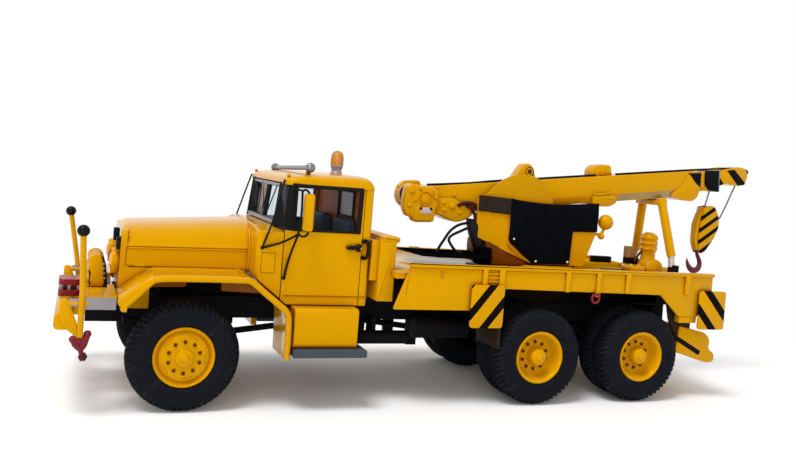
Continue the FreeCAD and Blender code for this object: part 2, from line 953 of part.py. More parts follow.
# Roof fittings: the lamp bar and the foot of the beacon
bar_x = 23.1
bar_half = 17.4
bar_rise = 1.4
bar_radius = 0.45
bar_ball_radius = 0.8
bar_z = roof_top + bar_rise
lamp_bar_parts = [bar((bar_x, -bar_half, bar_z), (bar_x, bar_half, bar_z), bar_radius)]
for side in (1, -1):
    y = side * bar_half
    lamp_bar_parts.append(Part.makeSphere(bar_ball_radius, FreeCAD.Vector(bar_x, y, bar_z)))
    lamp_bar_parts.append(bar((bar_x, y, roof_top), (bar_x, y, bar_z), bar_radius))
beacon_x = 33.6
beacon_y = 0.0
beacon_radius = 1.5
beacon_foot = 1.8
beacon_height = 3.2
lens_bottom = roof_top + beacon_foot
dome_z = lens_bottom + beacon_height - beacon_radius
foot = bar(
    (beacon_x, beacon_y, roof_top), (beacon_x, beacon_y, lens_bottom), beacon_radius * 0.8
)
node_shapes["roof_fittings"] = Part.makeCompound([joined(lamp_bar_parts), foot])
lens = joined(
    [
        bar((beacon_x, beacon_y, lens_bottom), (beacon_x, beacon_y, dome_z), beacon_radius),
        Part.makeSphere(beacon_radius, FreeCAD.Vector(beacon_x, beacon_y, dome_z)),
    ]
)
node_shapes["beacon_lens"] = lens

# Front bumper: a low beam, a tray at each side, braces and the ball-headed marker posts
bumper_front = -23.7
beam_rear = -20.6
beam_top = 19.5
beam_bottom = 16.7
bumper_half = 24.0
tray_front = -18.7
tray_rear = -13.2
tray_inner = 14.0
tray_top = 22.9
tray_bottom = 20.5
arm_half = 1.3
post_x = -19.1
post_radius = 0.55
post_ball = 1.06
post_y = 24.1
post_foot_z = 15.4
post_ball_z = 34.9
left_post_x = -19.7
right_post_x = -22.2
right_knee_x = -20.2
brace_width = 1.4
beam = block(bumper_front, beam_rear, -bumper_half, bumper_half, beam_bottom, beam_top)
beam = round_edges(beam, sheet, lambda e: along(e, Y))
tray = block(tray_front, tray_rear, tray_inner, bumper_half, tray_top - sheet, tray_top)
skirt = block(tray_front, tray_rear, bumper_half - sheet, bumper_half, tray_bottom, tray_top)
tray_tie = block(
    tray_rear - arm_half, tray_rear, rail_outer, bumper_half - sheet, tray_bottom, tray_top
)
arm = block(
    beam_rear - sheet,
    horn_front_x,
    rail_outer - rail_width,
    rail_outer,
    beam_bottom,
    beam_top,
)
brace_outline = [
    (bumper_front + sheet, tray_top - sheet),
    (bumper_front + sheet + brace_width, tray_top - sheet),
    (post_x, post_foot_z + sheet),
    (post_x, post_foot_z),
    (post_x - brace_width / 2, post_foot_z),
]
brace = side_plate(brace_outline, post_y - sheet, post_y)
brace_tie = bar(
    (bumper_front + sheet * 2, post_y - sheet / 2, tray_top - sheet * 1.5),
    (tray_front + sheet, post_y - sheet / 2, tray_top - sheet * 1.5),
    post_radius,
)
parts_aside = [tray, skirt, tray_tie, arm, brace, brace_tie]
front_parts = [beam] + parts_aside + [mirrored(piece) for piece in parts_aside]
for side, knee_x, top_x in ((-1, post_x, left_post_x), (1, right_knee_x, right_post_x)):
    foot = (post_x, side * post_y, post_foot_z)
    knee = (knee_x, side * post_y, tray_top + sheet)
    front_parts.append(bar(foot, knee, post_radius))
    head = (top_x, side * post_y, post_ball_z)
    front_parts.append(bar(knee, head, post_radius))
    front_parts.append(Part.makeSphere(post_radius, FreeCAD.Vector(*knee)))
    front_parts.append(Part.makeSphere(post_ball, FreeCAD.Vector(*head)))
winch_plate = block(horn_front_x, tray_rear, -rail_outer, rail_outer, rail_top, rail_top + sheet)
front_parts.append(winch_plate)
node_shapes["front_bumper"] = joined(front_parts)

# Front coupling: two jaws on a post over the beam
jaw_front = -23.5
jaw_rear = -19.4
jaw_height = 1.2
jaw_half = 3.2
jaw_top = 22.9
jaw_low_top = beam_top + jaw_height
jaws = [
    block(jaw_front, jaw_rear, -jaw_half, jaw_half, jaw_top - jaw_height, jaw_top),
    block(jaw_front, jaw_rear, -jaw_half, jaw_half, beam_top, jaw_low_top),
]
jaws = [round_edges(jaw, jaw_height * 0.8, lambda e: along(e, Z)) for jaw in jaws]
jaw_pin = bar(
    (jaw_front + jaw_height, 0, beam_top), (jaw_front + jaw_height, 0, jaw_top), jaw_height * 0.4
)
jaw_back = block(
    jaw_rear - jaw_height * 1.5, jaw_rear - jaw_height / 2, -jaw_height, jaw_height, beam_top, jaw_top
)
node_shapes["tow_coupling"] = joined(jaws + [jaw_pin, jaw_back])

# Front winch: a ribbed drum over its gear case, on the plate between the rails
winch_radius = 1.75
winch_case_radius = 1.4
winch_half = 6.0
winch_x = -16.8
winch_bottom = rail_top + sheet
winch_case_z = winch_bottom + winch_case_radius
winch_z = 26.9
winch_ribs = 7
winch_rib = 0.7
winch_parts = [
    bar((winch_x, -winch_half, winch_z), (winch_x, winch_half, winch_z), winch_radius * 0.8),
    bar((winch_x, -winch_half, winch_case_z), (winch_x, winch_half, winch_case_z), winch_case_radius),
    block(
        winch_x - winch_case_radius,
        winch_x + winch_case_radius,
        -winch_half,
        winch_half,
        winch_bottom,
        winch_z - winch_radius / 2,
    ),
]
for i in range(winch_ribs):
    y = -winch_half + i * (2 * winch_half - winch_rib) / (winch_ribs - 1)
    winch_parts.append(bar((winch_x, y, winch_z), (winch_x, y + winch_rib, winch_z), winch_radius))
node_shapes["front_winch"] = joined(winch_parts)

# Tanks and silencer under the chassis
tank_radius = 2.4
tank_front = 50.6
tank_length = 13.0
tank_rear = tank_front + tank_length
tank_y = 12.4
tank_z = 15.4
silencer_radius = 1.5
silencer_front = 36.8
silencer_length = 12.2
silencer_rear = silencer_front + silencer_length
silencer_y = 12.6
silencer_z = 13.2
hanger = 1.0
tank = bar((tank_front, tank_y, tank_z), (tank_rear, tank_y, tank_z), tank_radius)
tank_hanger = block(
    tank_front + hanger * 2, tank_rear - hanger * 2, rail_outer, tank_y, tank_z - hanger, tank_z + hanger
)
silencer = bar(
    (silencer_front, -silencer_y, silencer_z), (silencer_rear, -silencer_y, silencer_z), silencer_radius
)
silencer_hanger = block(
    silencer_front + hanger * 4,
    silencer_front + hanger * 5,
    -silencer_y,
    -rail_outer,
    silencer_z,
    rail_bottom + hanger,
)
left_tank = mirrored(joined([tank, tank_hanger]))
node_shapes["under_tanks"] = Part.makeCompound(
    [joined([tank, tank_hanger]), left_tank, joined([silencer, silencer_hanger])]
)

# Boxes between the cab and the bed
headboard_front = 38.6
headboard_rear = bed_front_x - running_clearance / 3
headboard_top = 35.8
headboard_bottom = 22.6
headboard_half = 21.0
locker_front = cab_rear_x + running_clearance / 3
locker_bottom = 26.8
locker_half = 20.2
locker = block(
    locker_front, headboard_front, -locker_half, locker_half, locker_bottom, headboard_top - sheet / 2
)
headboard = block(
    headboard_front, headboard_rear, -headboard_half, headboard_half, headboard_bottom, headboard_top
)
headboard = round_edges(
    headboard, sheet * 0.8, lambda e: along(e, X) and e.BoundBox.ZMin > headboard_top - sheet
)
node_shapes["headboard_box"] = joined([locker, headboard])

# Deck on its subframe, with the fixed ring and post of the turntable
deck_thickness = 1.4
bed_wall = 1.2
deck_half = bed_half_width - bed_wall
ring_radius = 10.4
ring_top = deck_top + 0.7
slew_post_radius = 3.0
slew_post_top = 33.0
deck_slab = block(bed_front_x, bed_rear_x, -deck_half, deck_half, deck_top - deck_thickness, deck_top)
sub_rail = block(
    bed_front_x, bed_rear_x, rail_outer - rail_width, rail_outer, rail_top, deck_top - deck_thickness / 2
)
fixed_ring = Part.makeCylinder(
    ring_radius, ring_top - deck_top + sheet, FreeCAD.Vector(turret_x, 0, deck_top - sheet)
)
slew_post = Part.makeCylinder(
    slew_post_radius, slew_post_top - deck_top, FreeCAD.Vector(turret_x, 0, deck_top)
)
node_shapes["deck"] = joined([deck_slab, sub_rail, mirrored(sub_rail), fixed_ring, slew_post])

# Sides of the bed: deep at both ends, with a flange and stakes
side_front_top = 44.8
deep_bottom = 21.4
front_deep_rear = 66.6
side_bottom_front = 26.3
side_bottom_rear = 25.8
rear_deep_front = 114.4
rear_deep_start = 108.8
rear_deep_bottom = 20.8
rear_deep_rear = 120.4
flange_height = 1.1
panel_inset = 0.5
stake_width = 1.5
stake_places = (63.2, 83.4, 90.7, 99.2, 115.8)
side_outline = [
    (side_front_top, bed_top),
    (bed_front_x, deep_bottom),
    (front_deep_rear, deep_bottom),
    (front_deep_rear, side_bottom_front),
    (rear_deep_start, side_bottom_rear),
    (rear_deep_front, rear_deep_bottom),
    (rear_deep_rear, rear_deep_bottom),
    (bed_rear_x, side_bottom_rear),
    (bed_rear_x, bed_top),
]
panel = side_plate(side_outline, deck_half, bed_half_width - panel_inset)
flange = block(
    side_front_top, bed_rear_x, deck_half, bed_half_width, bed_top - flange_height, bed_top
)
stakes = [
    block(
        x - stake_width / 2,
        x + stake_width / 2,
        deck_half,
        bed_half_width,
        side_bottom_front,
        bed_top,
    )
    for x in stake_places
]
bed_side = joined([panel, flange] + stakes)
node_shapes["bed_sides"] = both(bed_side)

# Striped warning plates: one ahead of the rear wheels and one behind them on each side
plate_front_x = 58.8
plate_width = 7.6
plate_bottom = 18.0
plate_height = 9.2
plate_thickness = 0.6
plate_round = 0.9
tail_plate_x = 119.8
plates = []
for x in (plate_front_x, tail_plate_x):
    flat = block(
        x,
        x + plate_width,
        bed_half_width,
        bed_half_width + plate_thickness,
        plate_bottom,
        plate_bottom + plate_height,
    )
    flat = round_edges(flat, plate_round, lambda e: along(e, Y))
    plates += [flat, mirrored(flat)]
node_shapes["warning_plates"] = Part.makeCompound(plates)

# Rear bumper: a channel across the chassis end with sloping plates
tail_beam_top = 17.4
tail_beam_bottom = 9.4
tail_beam_half = 22.0
tail_beam_front = 122.0
tail_beam_rear = 129.6
tail_outline = [
    (tail_beam_front, tail_beam_top),
    (tail_beam_rear - sheet * 2, tail_beam_bottom + sheet * 3),
    (tail_beam_rear, tail_beam_bottom + sheet * 2),
    (tail_beam_rear, tail_beam_bottom),
    (tail_beam_rear - sheet * 4, tail_beam_bottom),
    (tail_beam_front, tail_beam_top - sheet * 4),
]
tail_beam = side_plate(tail_outline, -tail_beam_half, tail_beam_half)
tail_bracket = block(
    tail_beam_front, tail_beam_front + sheet, -rail_outer, rail_outer, tail_beam_top - sheet * 4, rail_top
)
node_shapes["rear_bumper"] = joined([tail_beam, tail_bracket])

# Turret: a housing with a slot for the boom, a pin across it and a nose plate on the left, hose side
housing_half = 8.0
housing_bottom = ring_top + running_clearance
housing_front = 75.2
housing_rear = 99.8
housing_top = 45.1
housing_hip_z = 38.2
housing_chin_z = 32.9
nose_x = 67.4
nose_y = 6.3
nose_bottom = 36.2
nose_top = housing_top
housing_foot_front = 82.4
housing_foot_rear = 96.8
housing_outline = [
    (housing_front, housing_top),
    (housing_rear, housing_top),
    (housing_rear, housing_hip_z),
    (housing_foot_rear, housing_bottom),
    (housing_foot_front, housing_bottom),
    (housing_front, housing_chin_z),
]
slot_half = boom_half_width + running_clearance
slot_floor = 38.6
pivot_pin_radius = 1.2
housing = side_plate(housing_outline, -housing_half, housing_half)
boom_slot = block(
    housing_front - cut_overrun,
    housing_rear + cut_overrun,
    -slot_half,
    slot_half,
    slot_floor,
    housing_top + cut_overrun,
)
post_bore = Part.makeCylinder(
    slew_post_radius + pin_clearance,
    slew_post_top + running_clearance - housing_bottom + cut_overrun,
    FreeCAD.Vector(turret_x, 0, housing_bottom - cut_overrun),
)
ear_radius = 3.0
ear_y0 = slot_half
ear_y1 = slot_half + sheet
ear = joined(
    [
        bar((boom_pivot_x, ear_y0, boom_pivot_z), (boom_pivot_x, ear_y1, boom_pivot_z), ear_radius),
        block(
            boom_pivot_x - ear_radius, boom_pivot_x + ear_radius, ear_y0, ear_y1, slot_floor, boom_pivot_z
        ),
    ]
)
pivot_pin = bar(
    (boom_pivot_x, -ear_y1, boom_pivot_z), (boom_pivot_x, ear_y1, boom_pivot_z), pivot_pin_radius
)
nose_plan = [
    (nose_x, nose_y),
    (housing_front, housing_half),
    (housing_front + sheet, housing_half),
    (housing_front + sheet, housing_half - sheet),
    (housing_front, housing_half - sheet),
    (nose_x, nose_y - sheet),
]
nose_side = [
    (nose_x - sheet, nose_top),
    (housing_front + sheet, nose_top),
    (housing_front + sheet, housing_chin_z),
    (housing_front, housing_chin_z),
    (nose_x, nose_bottom),
    (nose_x - sheet, nose_bottom),
]
nose = plan_plate(nose_plan, housing_bottom, nose_top)
nose = nose.common(side_plate(nose_side, 0, housing_half + sheet))
housing = joined([housing.cut(boom_slot).cut(post_bore), mirrored(nose)])
node_shapes["turret_housing"] = joined([housing, ear, mirrored(ear), pivot_pin])

# Turret platform: the black hose plate ahead of the housing
platform_front = 54.6
platform_half = 7.2
platform_bottom = bed_top + running_clearance
platform_top = 31.1
platform_rear = housing_foot_front + sheet
hose_tower_front = 67.2
hose_tower_rear = 69.8
hose_tower_top = 35.5
hose_tower_inner = 4.0
platform = block(
    platform_front, platform_rear, -platform_half, platform_half, platform_bottom, platform_top
)
hose_tower = block(
    hose_tower_front, hose_tower_rear, -platform_half, -hose_tower_inner, platform_bottom, hose_tower_top
)
node_shapes["turret_platform"] = joined([platform, hose_tower]).cut(housing)

# Canvas apron over the housing's sides
canvas = 0.5
canvas_top = housing_top - canvas / 2
canvas_rear = housing_rear - canvas / 2
canvas_corner_z = housing_hip_z + canvas
canvas_leg_rear = 92.5
canvas_bottom = 30.8
canvas_chin_x = 76.2
canvas_chin_z = 35.8
canvas_outline = [
    (housing_front, canvas_top),
    (canvas_rear, canvas_top),
    (canvas_rear, canvas_corner_z),
    (canvas_leg_rear, housing_hip_z),
    (canvas_leg_rear, canvas_bottom),
    (housing_foot_front, canvas_bottom),
    (canvas_chin_x, canvas_chin_z),
    (housing_front, canvas_chin_z),
]
canvas_side = side_plate(canvas_outline, housing_half, housing_half + canvas)
node_shapes["canvas_apron"] = both(canvas_side)

# Mesh guard beside the boom's hinge, on the left side only as in the photo
guard_radius = 9.2
guard_x = 78.8
guard_z = 43.3
guard_y = ear_y1 + running_clearance / 3
guard_disc = bar((guard_x, guard_y, guard_z), (guard_x, guard_y + sheet, guard_z), guard_radius)
guard_cut = block(
    guard_x - guard_radius * 2,
    guard_x + guard_radius * 2,
    0,
    housing_half,
    0,
    housing_top,
)
node_shapes["mesh_guards"] = mirrored(guard_disc.cut(guard_cut))

# Work lamp on the turret's rear corner
work_lamp_x = 102.9
work_lamp_y = -7.2
work_lamp_z = 41.3
work_lamp_radius = 1.6
bracket_z = 37.4
work_lamp = joined(
    [
        Part.makeSphere(work_lamp_radius, FreeCAD.Vector(work_lamp_x, work_lamp_y, work_lamp_z)),
        bar((work_lamp_x, work_lamp_y, bracket_z), (work_lamp_x, work_lamp_y, work_lamp_z), sheet / 2),
        bar(
            (housing_rear - sheet, work_lamp_y, bracket_z + sheet),
            (work_lamp_x, work_lamp_y, bracket_z + sheet / 2),
            sheet / 2,
        ),
    ]
)
node_shapes["work_lamp"] = work_lamp.cut(housing)

# Boom, modelled level along X and then tilted about its pin
inner_half = 2.9
inner_depth = 5.0
boom_wall = 0.8
boom_top_rise = 3.9
boom_top_z = boom_pivot_z + boom_top_rise
boom_bottom_z = boom_top_z - boom_depth
pivot = FreeCAD.Vector(boom_pivot_x, 0, boom_pivot_z)


def raised(shape):
    """Tilt a level boom piece up to its travelling angle."""
    copy = shape.copy()
    copy.rotate(pivot, Y, -boom_incline)
    return copy


outer_box = block(
    boom_tail_x, boom_end_x, -boom_half_width, boom_half_width, boom_bottom_z, boom_top_z
)
inner_top = boom_top_z - boom_wall
inner_bottom = inner_top - inner_depth
bore_start = 84.0
boom_bore = block(
    bore_start,
    boom_end_x + cut_overrun,
    -inner_half - running_clearance / 2,
    inner_half + running_clearance / 2,
    inner_bottom - running_clearance / 2,
    inner_top + running_clearance / 2,
)
pin_bore = bar(
    (boom_pivot_x, -boom_half_width - cut_overrun, boom_pivot_z),
    (boom_pivot_x, boom_half_width + cut_overrun, boom_pivot_z),
    pivot_pin_radius + pin_clearance,
)
sheave_x = 104.2
sheave_radius = 2.3
sheave_half = 2.2
flange_x = 105.2
flange_length = 1.6
flange_drop = 0.8
top_sheave = joined(
    [
        bar(
            (sheave_x, -sheave_half, boom_top_z + sheet),
            (sheave_x, sheave_half, boom_top_z + sheet),
            sheave_radius,
        ),
        block(
            sheave_x - sheave_radius,
            sheave_x + sheave_radius,
            -sheave_half,
            sheave_half,
            boom_top_z - sheet / 2,
            boom_top_z + sheave_radius,
        ),
    ]
).cut(boom_bore)
flanges = [
    block(
        x - flange_length / 2,
        x + flange_length / 2,
        -boom_half_width,
        boom_half_width,
        boom_bottom_z - flange_drop,
        boom_bottom_z + sheet,
    )
    for x in (flange_x, boom_end_x - flange_length * 2.6, boom_end_x - flange_length / 2)
]
tail_round = round_edges(outer_box, sheet, lambda e: along(e, X))
outer_boom = joined([tail_round.cut(boom_bore).cut(pin_bore), top_sheave] + flanges)
node_shapes["outer_boom"] = raised(outer_boom)

# Winch gear at the boom's tail: gearbox, drum end, motor and valve box
gear_x = 53.6
gear_radius = 3.9
gear_z = boom_bottom_z + boom_depth * 0.58
gear_half = 6.4
gear_boss = 2.0
motor_radius = 1.7
motor_front = 56.0
motor_rear = 66.0
motor_z = boom_bottom_z - motor_radius * 0.3
valve_front = 51.0
valve_rear = 56.8
valve_drop = 1.2
valve_bottom = boom_bottom_z - valve_drop
motor_y = -motor_radius * 2
cap_end = gear_half + sheet
gearbox = bar((gear_x, -gear_half, gear_z), (gear_x, gear_half, gear_z), gear_radius)
gear_cap = bar((gear_x, -cap_end, gear_z), (gear_x, cap_end, gear_z), gear_boss)
motor = bar((motor_front, motor_y, motor_z), (motor_rear, motor_y, motor_z), motor_radius)
valve = block(valve_front, valve_rear, -gear_half, 0, valve_bottom, boom_bottom_z + sheet)
tail_gear = joined([gearbox, gear_cap, motor, valve]).cut(outer_box)
node_shapes["boom_gearbox"] = raised(tail_gear)

# Hydraulic hoses: loops that stand on the platform, and one that swings up to the motor
hose_radius = 0.4
hose_y = -4.75
outer_hose_y = hose_y - 2.5 * hose_radius
inner_hose_y = hose_y + 2.5 * hose_radius
bundle = [(66.2, hose_y, 39.6), (67.4, hose_y, 36.4), (69.4, hose_y, platform_top)]
loop_one = [
    (66.4, hose_y, 38.6),
    (63.2, hose_y, 38.2),
    (61.0, hose_y, 36.4),
    (59.8, hose_y, 34.4),
    (59.2, hose_y, platform_top),
]
loop_two = [
    (66.8, hose_y, 37.6),
    (63.6, outer_hose_y, 37.2),
    (61.6, outer_hose_y, 35.4),
    (62.2, outer_hose_y, 33.4),
    (63.8, outer_hose_y, platform_top),
]
turret_hoses = joined(
    [
        wire_run(bundle, hose_radius * 1.6),
        wire_run(loop_one, hose_radius),
        wire_run(loop_two, hose_radius),
    ]
)
motor_loop = [
    (64.6, inner_hose_y, 43.4),
    (66.6, hose_y, 43.2),
    (68.4, hose_y, 41.4),
    (68.8, hose_y, 39.0),
    (68.0, hose_y, 36.6),
]
hoses = joined([turret_hoses, wire_run(motor_loop, hose_radius)])
hoses = hoses.cut(node_shapes["turret_platform"]).cut(node_shapes["boom_gearbox"])
hoses = hoses.cut(node_shapes["outer_boom"])
node_shapes["hydraulic_hoses"] = hoses

# Inner boom with the sheave head
head_length = 9.8
head_crown = 0.7
head_half = boom_half_width - sheet / 2
head_top = boom_top_z - sheet / 3
head_front = boom_tip_x - head_length
stage_gap = 3.0
stage_start = bore_start + stage_gap
stage_end = boom_tip_x - head_length / 2
inner_box = block(stage_start, stage_end, -inner_half, inner_half, inner_bottom, inner_top)
head_outline = [
    (head_front, head_top),
    (head_front + head_length * 0.6, head_top + head_crown),
    (boom_tip_x - sheet, head_top),
    (boom_tip_x, head_top - head_crown),
    (boom_tip_x, head_top - inner_depth * 0.55),
    (boom_tip_x - sheet, head_top - inner_depth),
    (head_front, head_top - inner_depth),
]
head = side_plate(head_outline, -head_half, head_half)
head_sheave_x = 139.6
head_sheave_radius = 2.2
head_block = block(
    head_sheave_x - sheave_radius / 2,
    head_sheave_x + sheave_radius / 2,
    -head_half,
    head_half,
    inner_bottom - head_sheave_radius,
    inner_top,
)
node_shapes["inner_boom"] = raised(joined([inner_box, head, head_block]))

# Hook block hung on two falls of rope from the head
block_x = 140.6
block_z = 40.2
block_half = 1.6
block_lean = 11.0
block_width = 5.4
block_height = 12.8
block_shares = (
    (-0.22, 0.515),
    (0.30, 0.485),
    (0.48, 0.205),
    (0.22, -0.42),
    (-0.15, -0.485),
    (-0.52, -0.125),
)
hook_centre = FreeCAD.Vector(block_x, 0, block_z)
block_outline = [(block_x + u * block_width, block_z + v * block_height) for u, v in block_shares]
cheeks = side_plate(block_outline, -block_half, block_half)
cheeks = round_edges(cheeks, sheet * 0.6, lambda e: along(e, Y))
cheeks.rotate(hook_centre, Y, block_lean)
hook_wire = 0.7
hook_width = 5.0
hook_drop = 11.2
hook_shares = ((-0.44, -0.48), (-0.24, -0.77), (-0.4, -0.98), (-0.8, -1.0), (-1.0, -0.84))
hook_path = [(block_x + u * hook_width, 0, block_z + v * hook_drop) for u, v in hook_shares]
node_shapes["hook_block"] = cheeks
node_shapes["hook"] = wire_run(hook_path, hook_wire).cut(cheeks)

rope_radius = 0.25
rope_front_top = (head_sheave_x, 0, 50.6)
rope_rear_top = (boom_tip_x - head_length / 2, 0, 54.0)
rope_front_low = (block_x - block_half, 0, block_z + block_height / 2)
rope_rear_low = (block_x + block_width / 2, 0, block_z + block_height / 3)
falls = Part.makeCompound(
    [bar(rope_front_low, rope_front_top, rope_radius), bar(rope_rear_low, rope_rear_top, rope_radius)]
)
node_shapes["hoist_rope"] = falls.cut(node_shapes["inner_boom"]).cut(cheeks)

# Boom rest: an A frame on the deck, and the capstan winch between its legs
rest_x = 122.1
rest_foot_half = 9.1
rest_top_half = 4.5
rest_radius = 0.9
rest_lean = 1.8
rest_drop = 1.2
boom_rise = (rest_x - boom_pivot_x) * math.tan(math.radians(boom_incline))
rest_top_z = boom_bottom_z + boom_rise - rest_drop
leg = bar(
    (rest_x + rest_lean, rest_foot_half, deck_top), (rest_x, rest_top_half, rest_top_z), rest_radius
)
rest_beam = block(
    rest_x - rest_radius,
    rest_x + rest_radius,
    -rest_top_half - rest_radius,
    rest_top_half + rest_radius,
    rest_top_z - rest_radius,
    rest_top_z + rest_radius / 2,
)
node_shapes["boom_rest"] = joined([leg, mirrored(leg), rest_beam]).cut(deck_slab)
capstan_x = 120.4
capstan_y = -2.0
capstan_radius = 2.0
capstan_foot = 3.4
capstan_top = 38.4
capstan_base = 4.2
capstan = joined(
    [
        bar((capstan_x, capstan_y, deck_top), (capstan_x, capstan_y, capstan_top), capstan_radius),
        block(
            capstan_x - capstan_foot,
            capstan_x + capstan_foot - sheet,
            capstan_y - capstan_base,
            capstan_y + capstan_base,
            deck_top,
            deck_top + capstan_radius,
        ),
    ]
)
node_shapes["rear_capstan"] = capstan

# Place the whole model over the origin and write one file for each piece
for name in node_shapes:
    if name.startswith(("tyre", "rim")):
        node_shapes[name].translate(FreeCAD.Vector(0, 0, tyre_radius))
whole = FreeCAD.BoundBox()
for shape in node_shapes.values():
    whole.add(shape.optimalBoundingBox(False))
shift = FreeCAD.Vector(-(whole.XMin + whole.XMax) / 2, 0, -whole.ZMin)
os.makedirs("parts", exist_ok=True)
print("front axle at x =", round(shift.x, 4), "z shift", round(shift.z, 4))
print("size", whole.XLength, whole.YLength, whole.ZLength)
for name, shape in node_shapes.items():
    placed = shape.copy()
    placed.translate(shift)
    placed.exportStep("parts/" + name + ".step")
print(len(node_shapes), "nodes")
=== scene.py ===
import math

import bmesh
import bpy
import numpy as np
from mathutils import Matrix, Vector


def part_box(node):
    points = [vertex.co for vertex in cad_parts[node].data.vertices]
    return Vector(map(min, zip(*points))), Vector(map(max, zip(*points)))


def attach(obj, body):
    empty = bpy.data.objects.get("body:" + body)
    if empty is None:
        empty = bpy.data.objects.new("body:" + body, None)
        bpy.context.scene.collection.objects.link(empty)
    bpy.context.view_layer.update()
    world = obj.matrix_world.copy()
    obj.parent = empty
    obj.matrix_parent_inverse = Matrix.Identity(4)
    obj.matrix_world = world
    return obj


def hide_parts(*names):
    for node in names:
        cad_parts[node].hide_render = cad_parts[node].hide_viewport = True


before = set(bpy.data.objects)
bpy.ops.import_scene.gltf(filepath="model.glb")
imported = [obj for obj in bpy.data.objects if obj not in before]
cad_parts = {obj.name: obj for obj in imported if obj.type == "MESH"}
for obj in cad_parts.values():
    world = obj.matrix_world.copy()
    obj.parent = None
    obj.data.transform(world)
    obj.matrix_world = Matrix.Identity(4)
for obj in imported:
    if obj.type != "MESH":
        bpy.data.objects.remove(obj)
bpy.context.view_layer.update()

# The camera, as fitted to the photograph. All places below are in millimetres on the model, x from the
# front axle to the rear, y from the middle to the truck's right and z up from the floor.
front_wheel_low, front_wheel_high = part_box("tyre_front_left")
axle_x = (front_wheel_low.x + front_wheel_high.x) / 2
camera_place = (-21.416, -193.078, 50.622)
camera_turn, camera_dip, camera_roll = math.radians(22.4447), math.radians(1.3048), math.radians(4.6427)
camera_lens = 39.096
camera_shift = (-0.04533, -0.04133)


def place(points):
    """Model millimetres to the frame's metres: p / 1000, then x moves with the front axle."""
    return np.asarray(points, float) / 1000.0 + np.array([axle_x, 0.0, 0.0])


level_forward = Vector((math.sin(camera_turn), math.cos(camera_turn), 0))
level_right = Vector((math.cos(camera_turn), -math.sin(camera_turn), 0))
forward = level_forward * math.cos(camera_dip) - Vector((0, 0, 1)) * math.sin(camera_dip)
upward = level_forward * math.sin(camera_dip) + Vector((0, 0, 1)) * math.cos(camera_dip)
right = level_right * math.cos(camera_roll) + upward * math.sin(camera_roll)
upward = upward * math.cos(camera_roll) - level_right * math.sin(camera_roll)
camera_data = bpy.data.cameras.new("camera")
camera_data.lens = camera_lens
camera_data.shift_x, camera_data.shift_y = camera_shift
camera_data.clip_start = 0.01
camera_data.clip_end = 20
camera = bpy.data.objects.new("camera", camera_data)
bpy.context.scene.collection.objects.link(camera)
camera.matrix_world = Matrix.Translation(place(camera_place).tolist()) @ Matrix(
    (right, upward, -forward)
).transposed().to_4x4()
bpy.context.scene.camera = camera

# The studio: a white paper floor that keeps the shadow, a pale sky all round, and two soft boxes.
# Away from the model the paper turns into the same white as the background.
floor_size = 6.0
paper_fade_start, paper_fade_end = 0.06, 0.20
key_power, key_size = 5.2, 0.3
fill_power, fill_size = 1.6, 0.5
sky_strength = 0.62


def linear(colour):
    """An sRGB hex colour as linear RGBA: ((s + 0.055) / 1.055) ** 2.4 above 0.04045, s / 12.92 below."""
    s = np.array([int(colour[i : i + 2], 16) / 255 for i in (0, 2, 4)])
    rgb = np.where(s > 0.04045, ((s + 0.055) / 1.055) ** 2.4, s / 12.92)
    return (*rgb.tolist(), 1.0)


def add_node(tree, kind, settings=None, **inputs):
    """Add one node: settings are its own properties, inputs its sockets by name. An input is a value, a hex
    colour, another socket, or another node, which stands for its first output."""
    made = tree.nodes.new(kind)
    for key, value in (settings or {}).items():
        setattr(made, key, value)
    for key, value in inputs.items():
        numbered = key[0] == "i" and key[1:].isdigit()
        socket = made.inputs[int(key[1:])] if numbered else made.inputs[key.replace("_", " ")]
        if isinstance(value, str):
            value = linear(value)
        if isinstance(value, bpy.types.Node):
            value = value.outputs[0]
        if isinstance(value, bpy.types.NodeSocket):
            tree.links.new(value, socket)
        else:
            socket.default_value = value
    return made


def mixed(tree, factor, first, second):
    """The colour that goes from first to second as the factor goes from 0 to 1."""
    return add_node(tree, "ShaderNodeMix", {"data_type": "RGBA"}, Factor=factor, i6=first, i7=second).outputs[2]


def blank_material(name):
    """A material with an empty node tree and its output node."""
    material = bpy.data.materials.new(name)
    material.use_nodes = True
    material.node_tree.nodes.clear()
    return material, material.node_tree, material.node_tree.nodes.new("ShaderNodeOutputMaterial")


world = bpy.data.worlds.new("pale_sky")
world.use_nodes = True
bpy.context.scene.world = world
sky = world.node_tree
sky.nodes.clear()
rays = add_node(sky, "ShaderNodeLightPath").outputs
seen = add_node(sky, "ShaderNodeMath", {"operation": "MAXIMUM"}, i0=rays["Is Camera Ray"], i1=rays["Is Glossy Ray"])
seen = add_node(sky, "ShaderNodeMath", {"operation": "MAXIMUM"}, i0=seen, i1=rays["Is Transmission Ray"])
strength = add_node(sky, "ShaderNodeMapRange", Value=seen, i3=sky_strength, i4=1.0)
backdrop = add_node(sky, "ShaderNodeBackground", Color=(1, 1, 1, 1), Strength=strength)
sky.links.new(backdrop.outputs[0], sky.nodes.new("ShaderNodeOutputWorld").inputs[0])

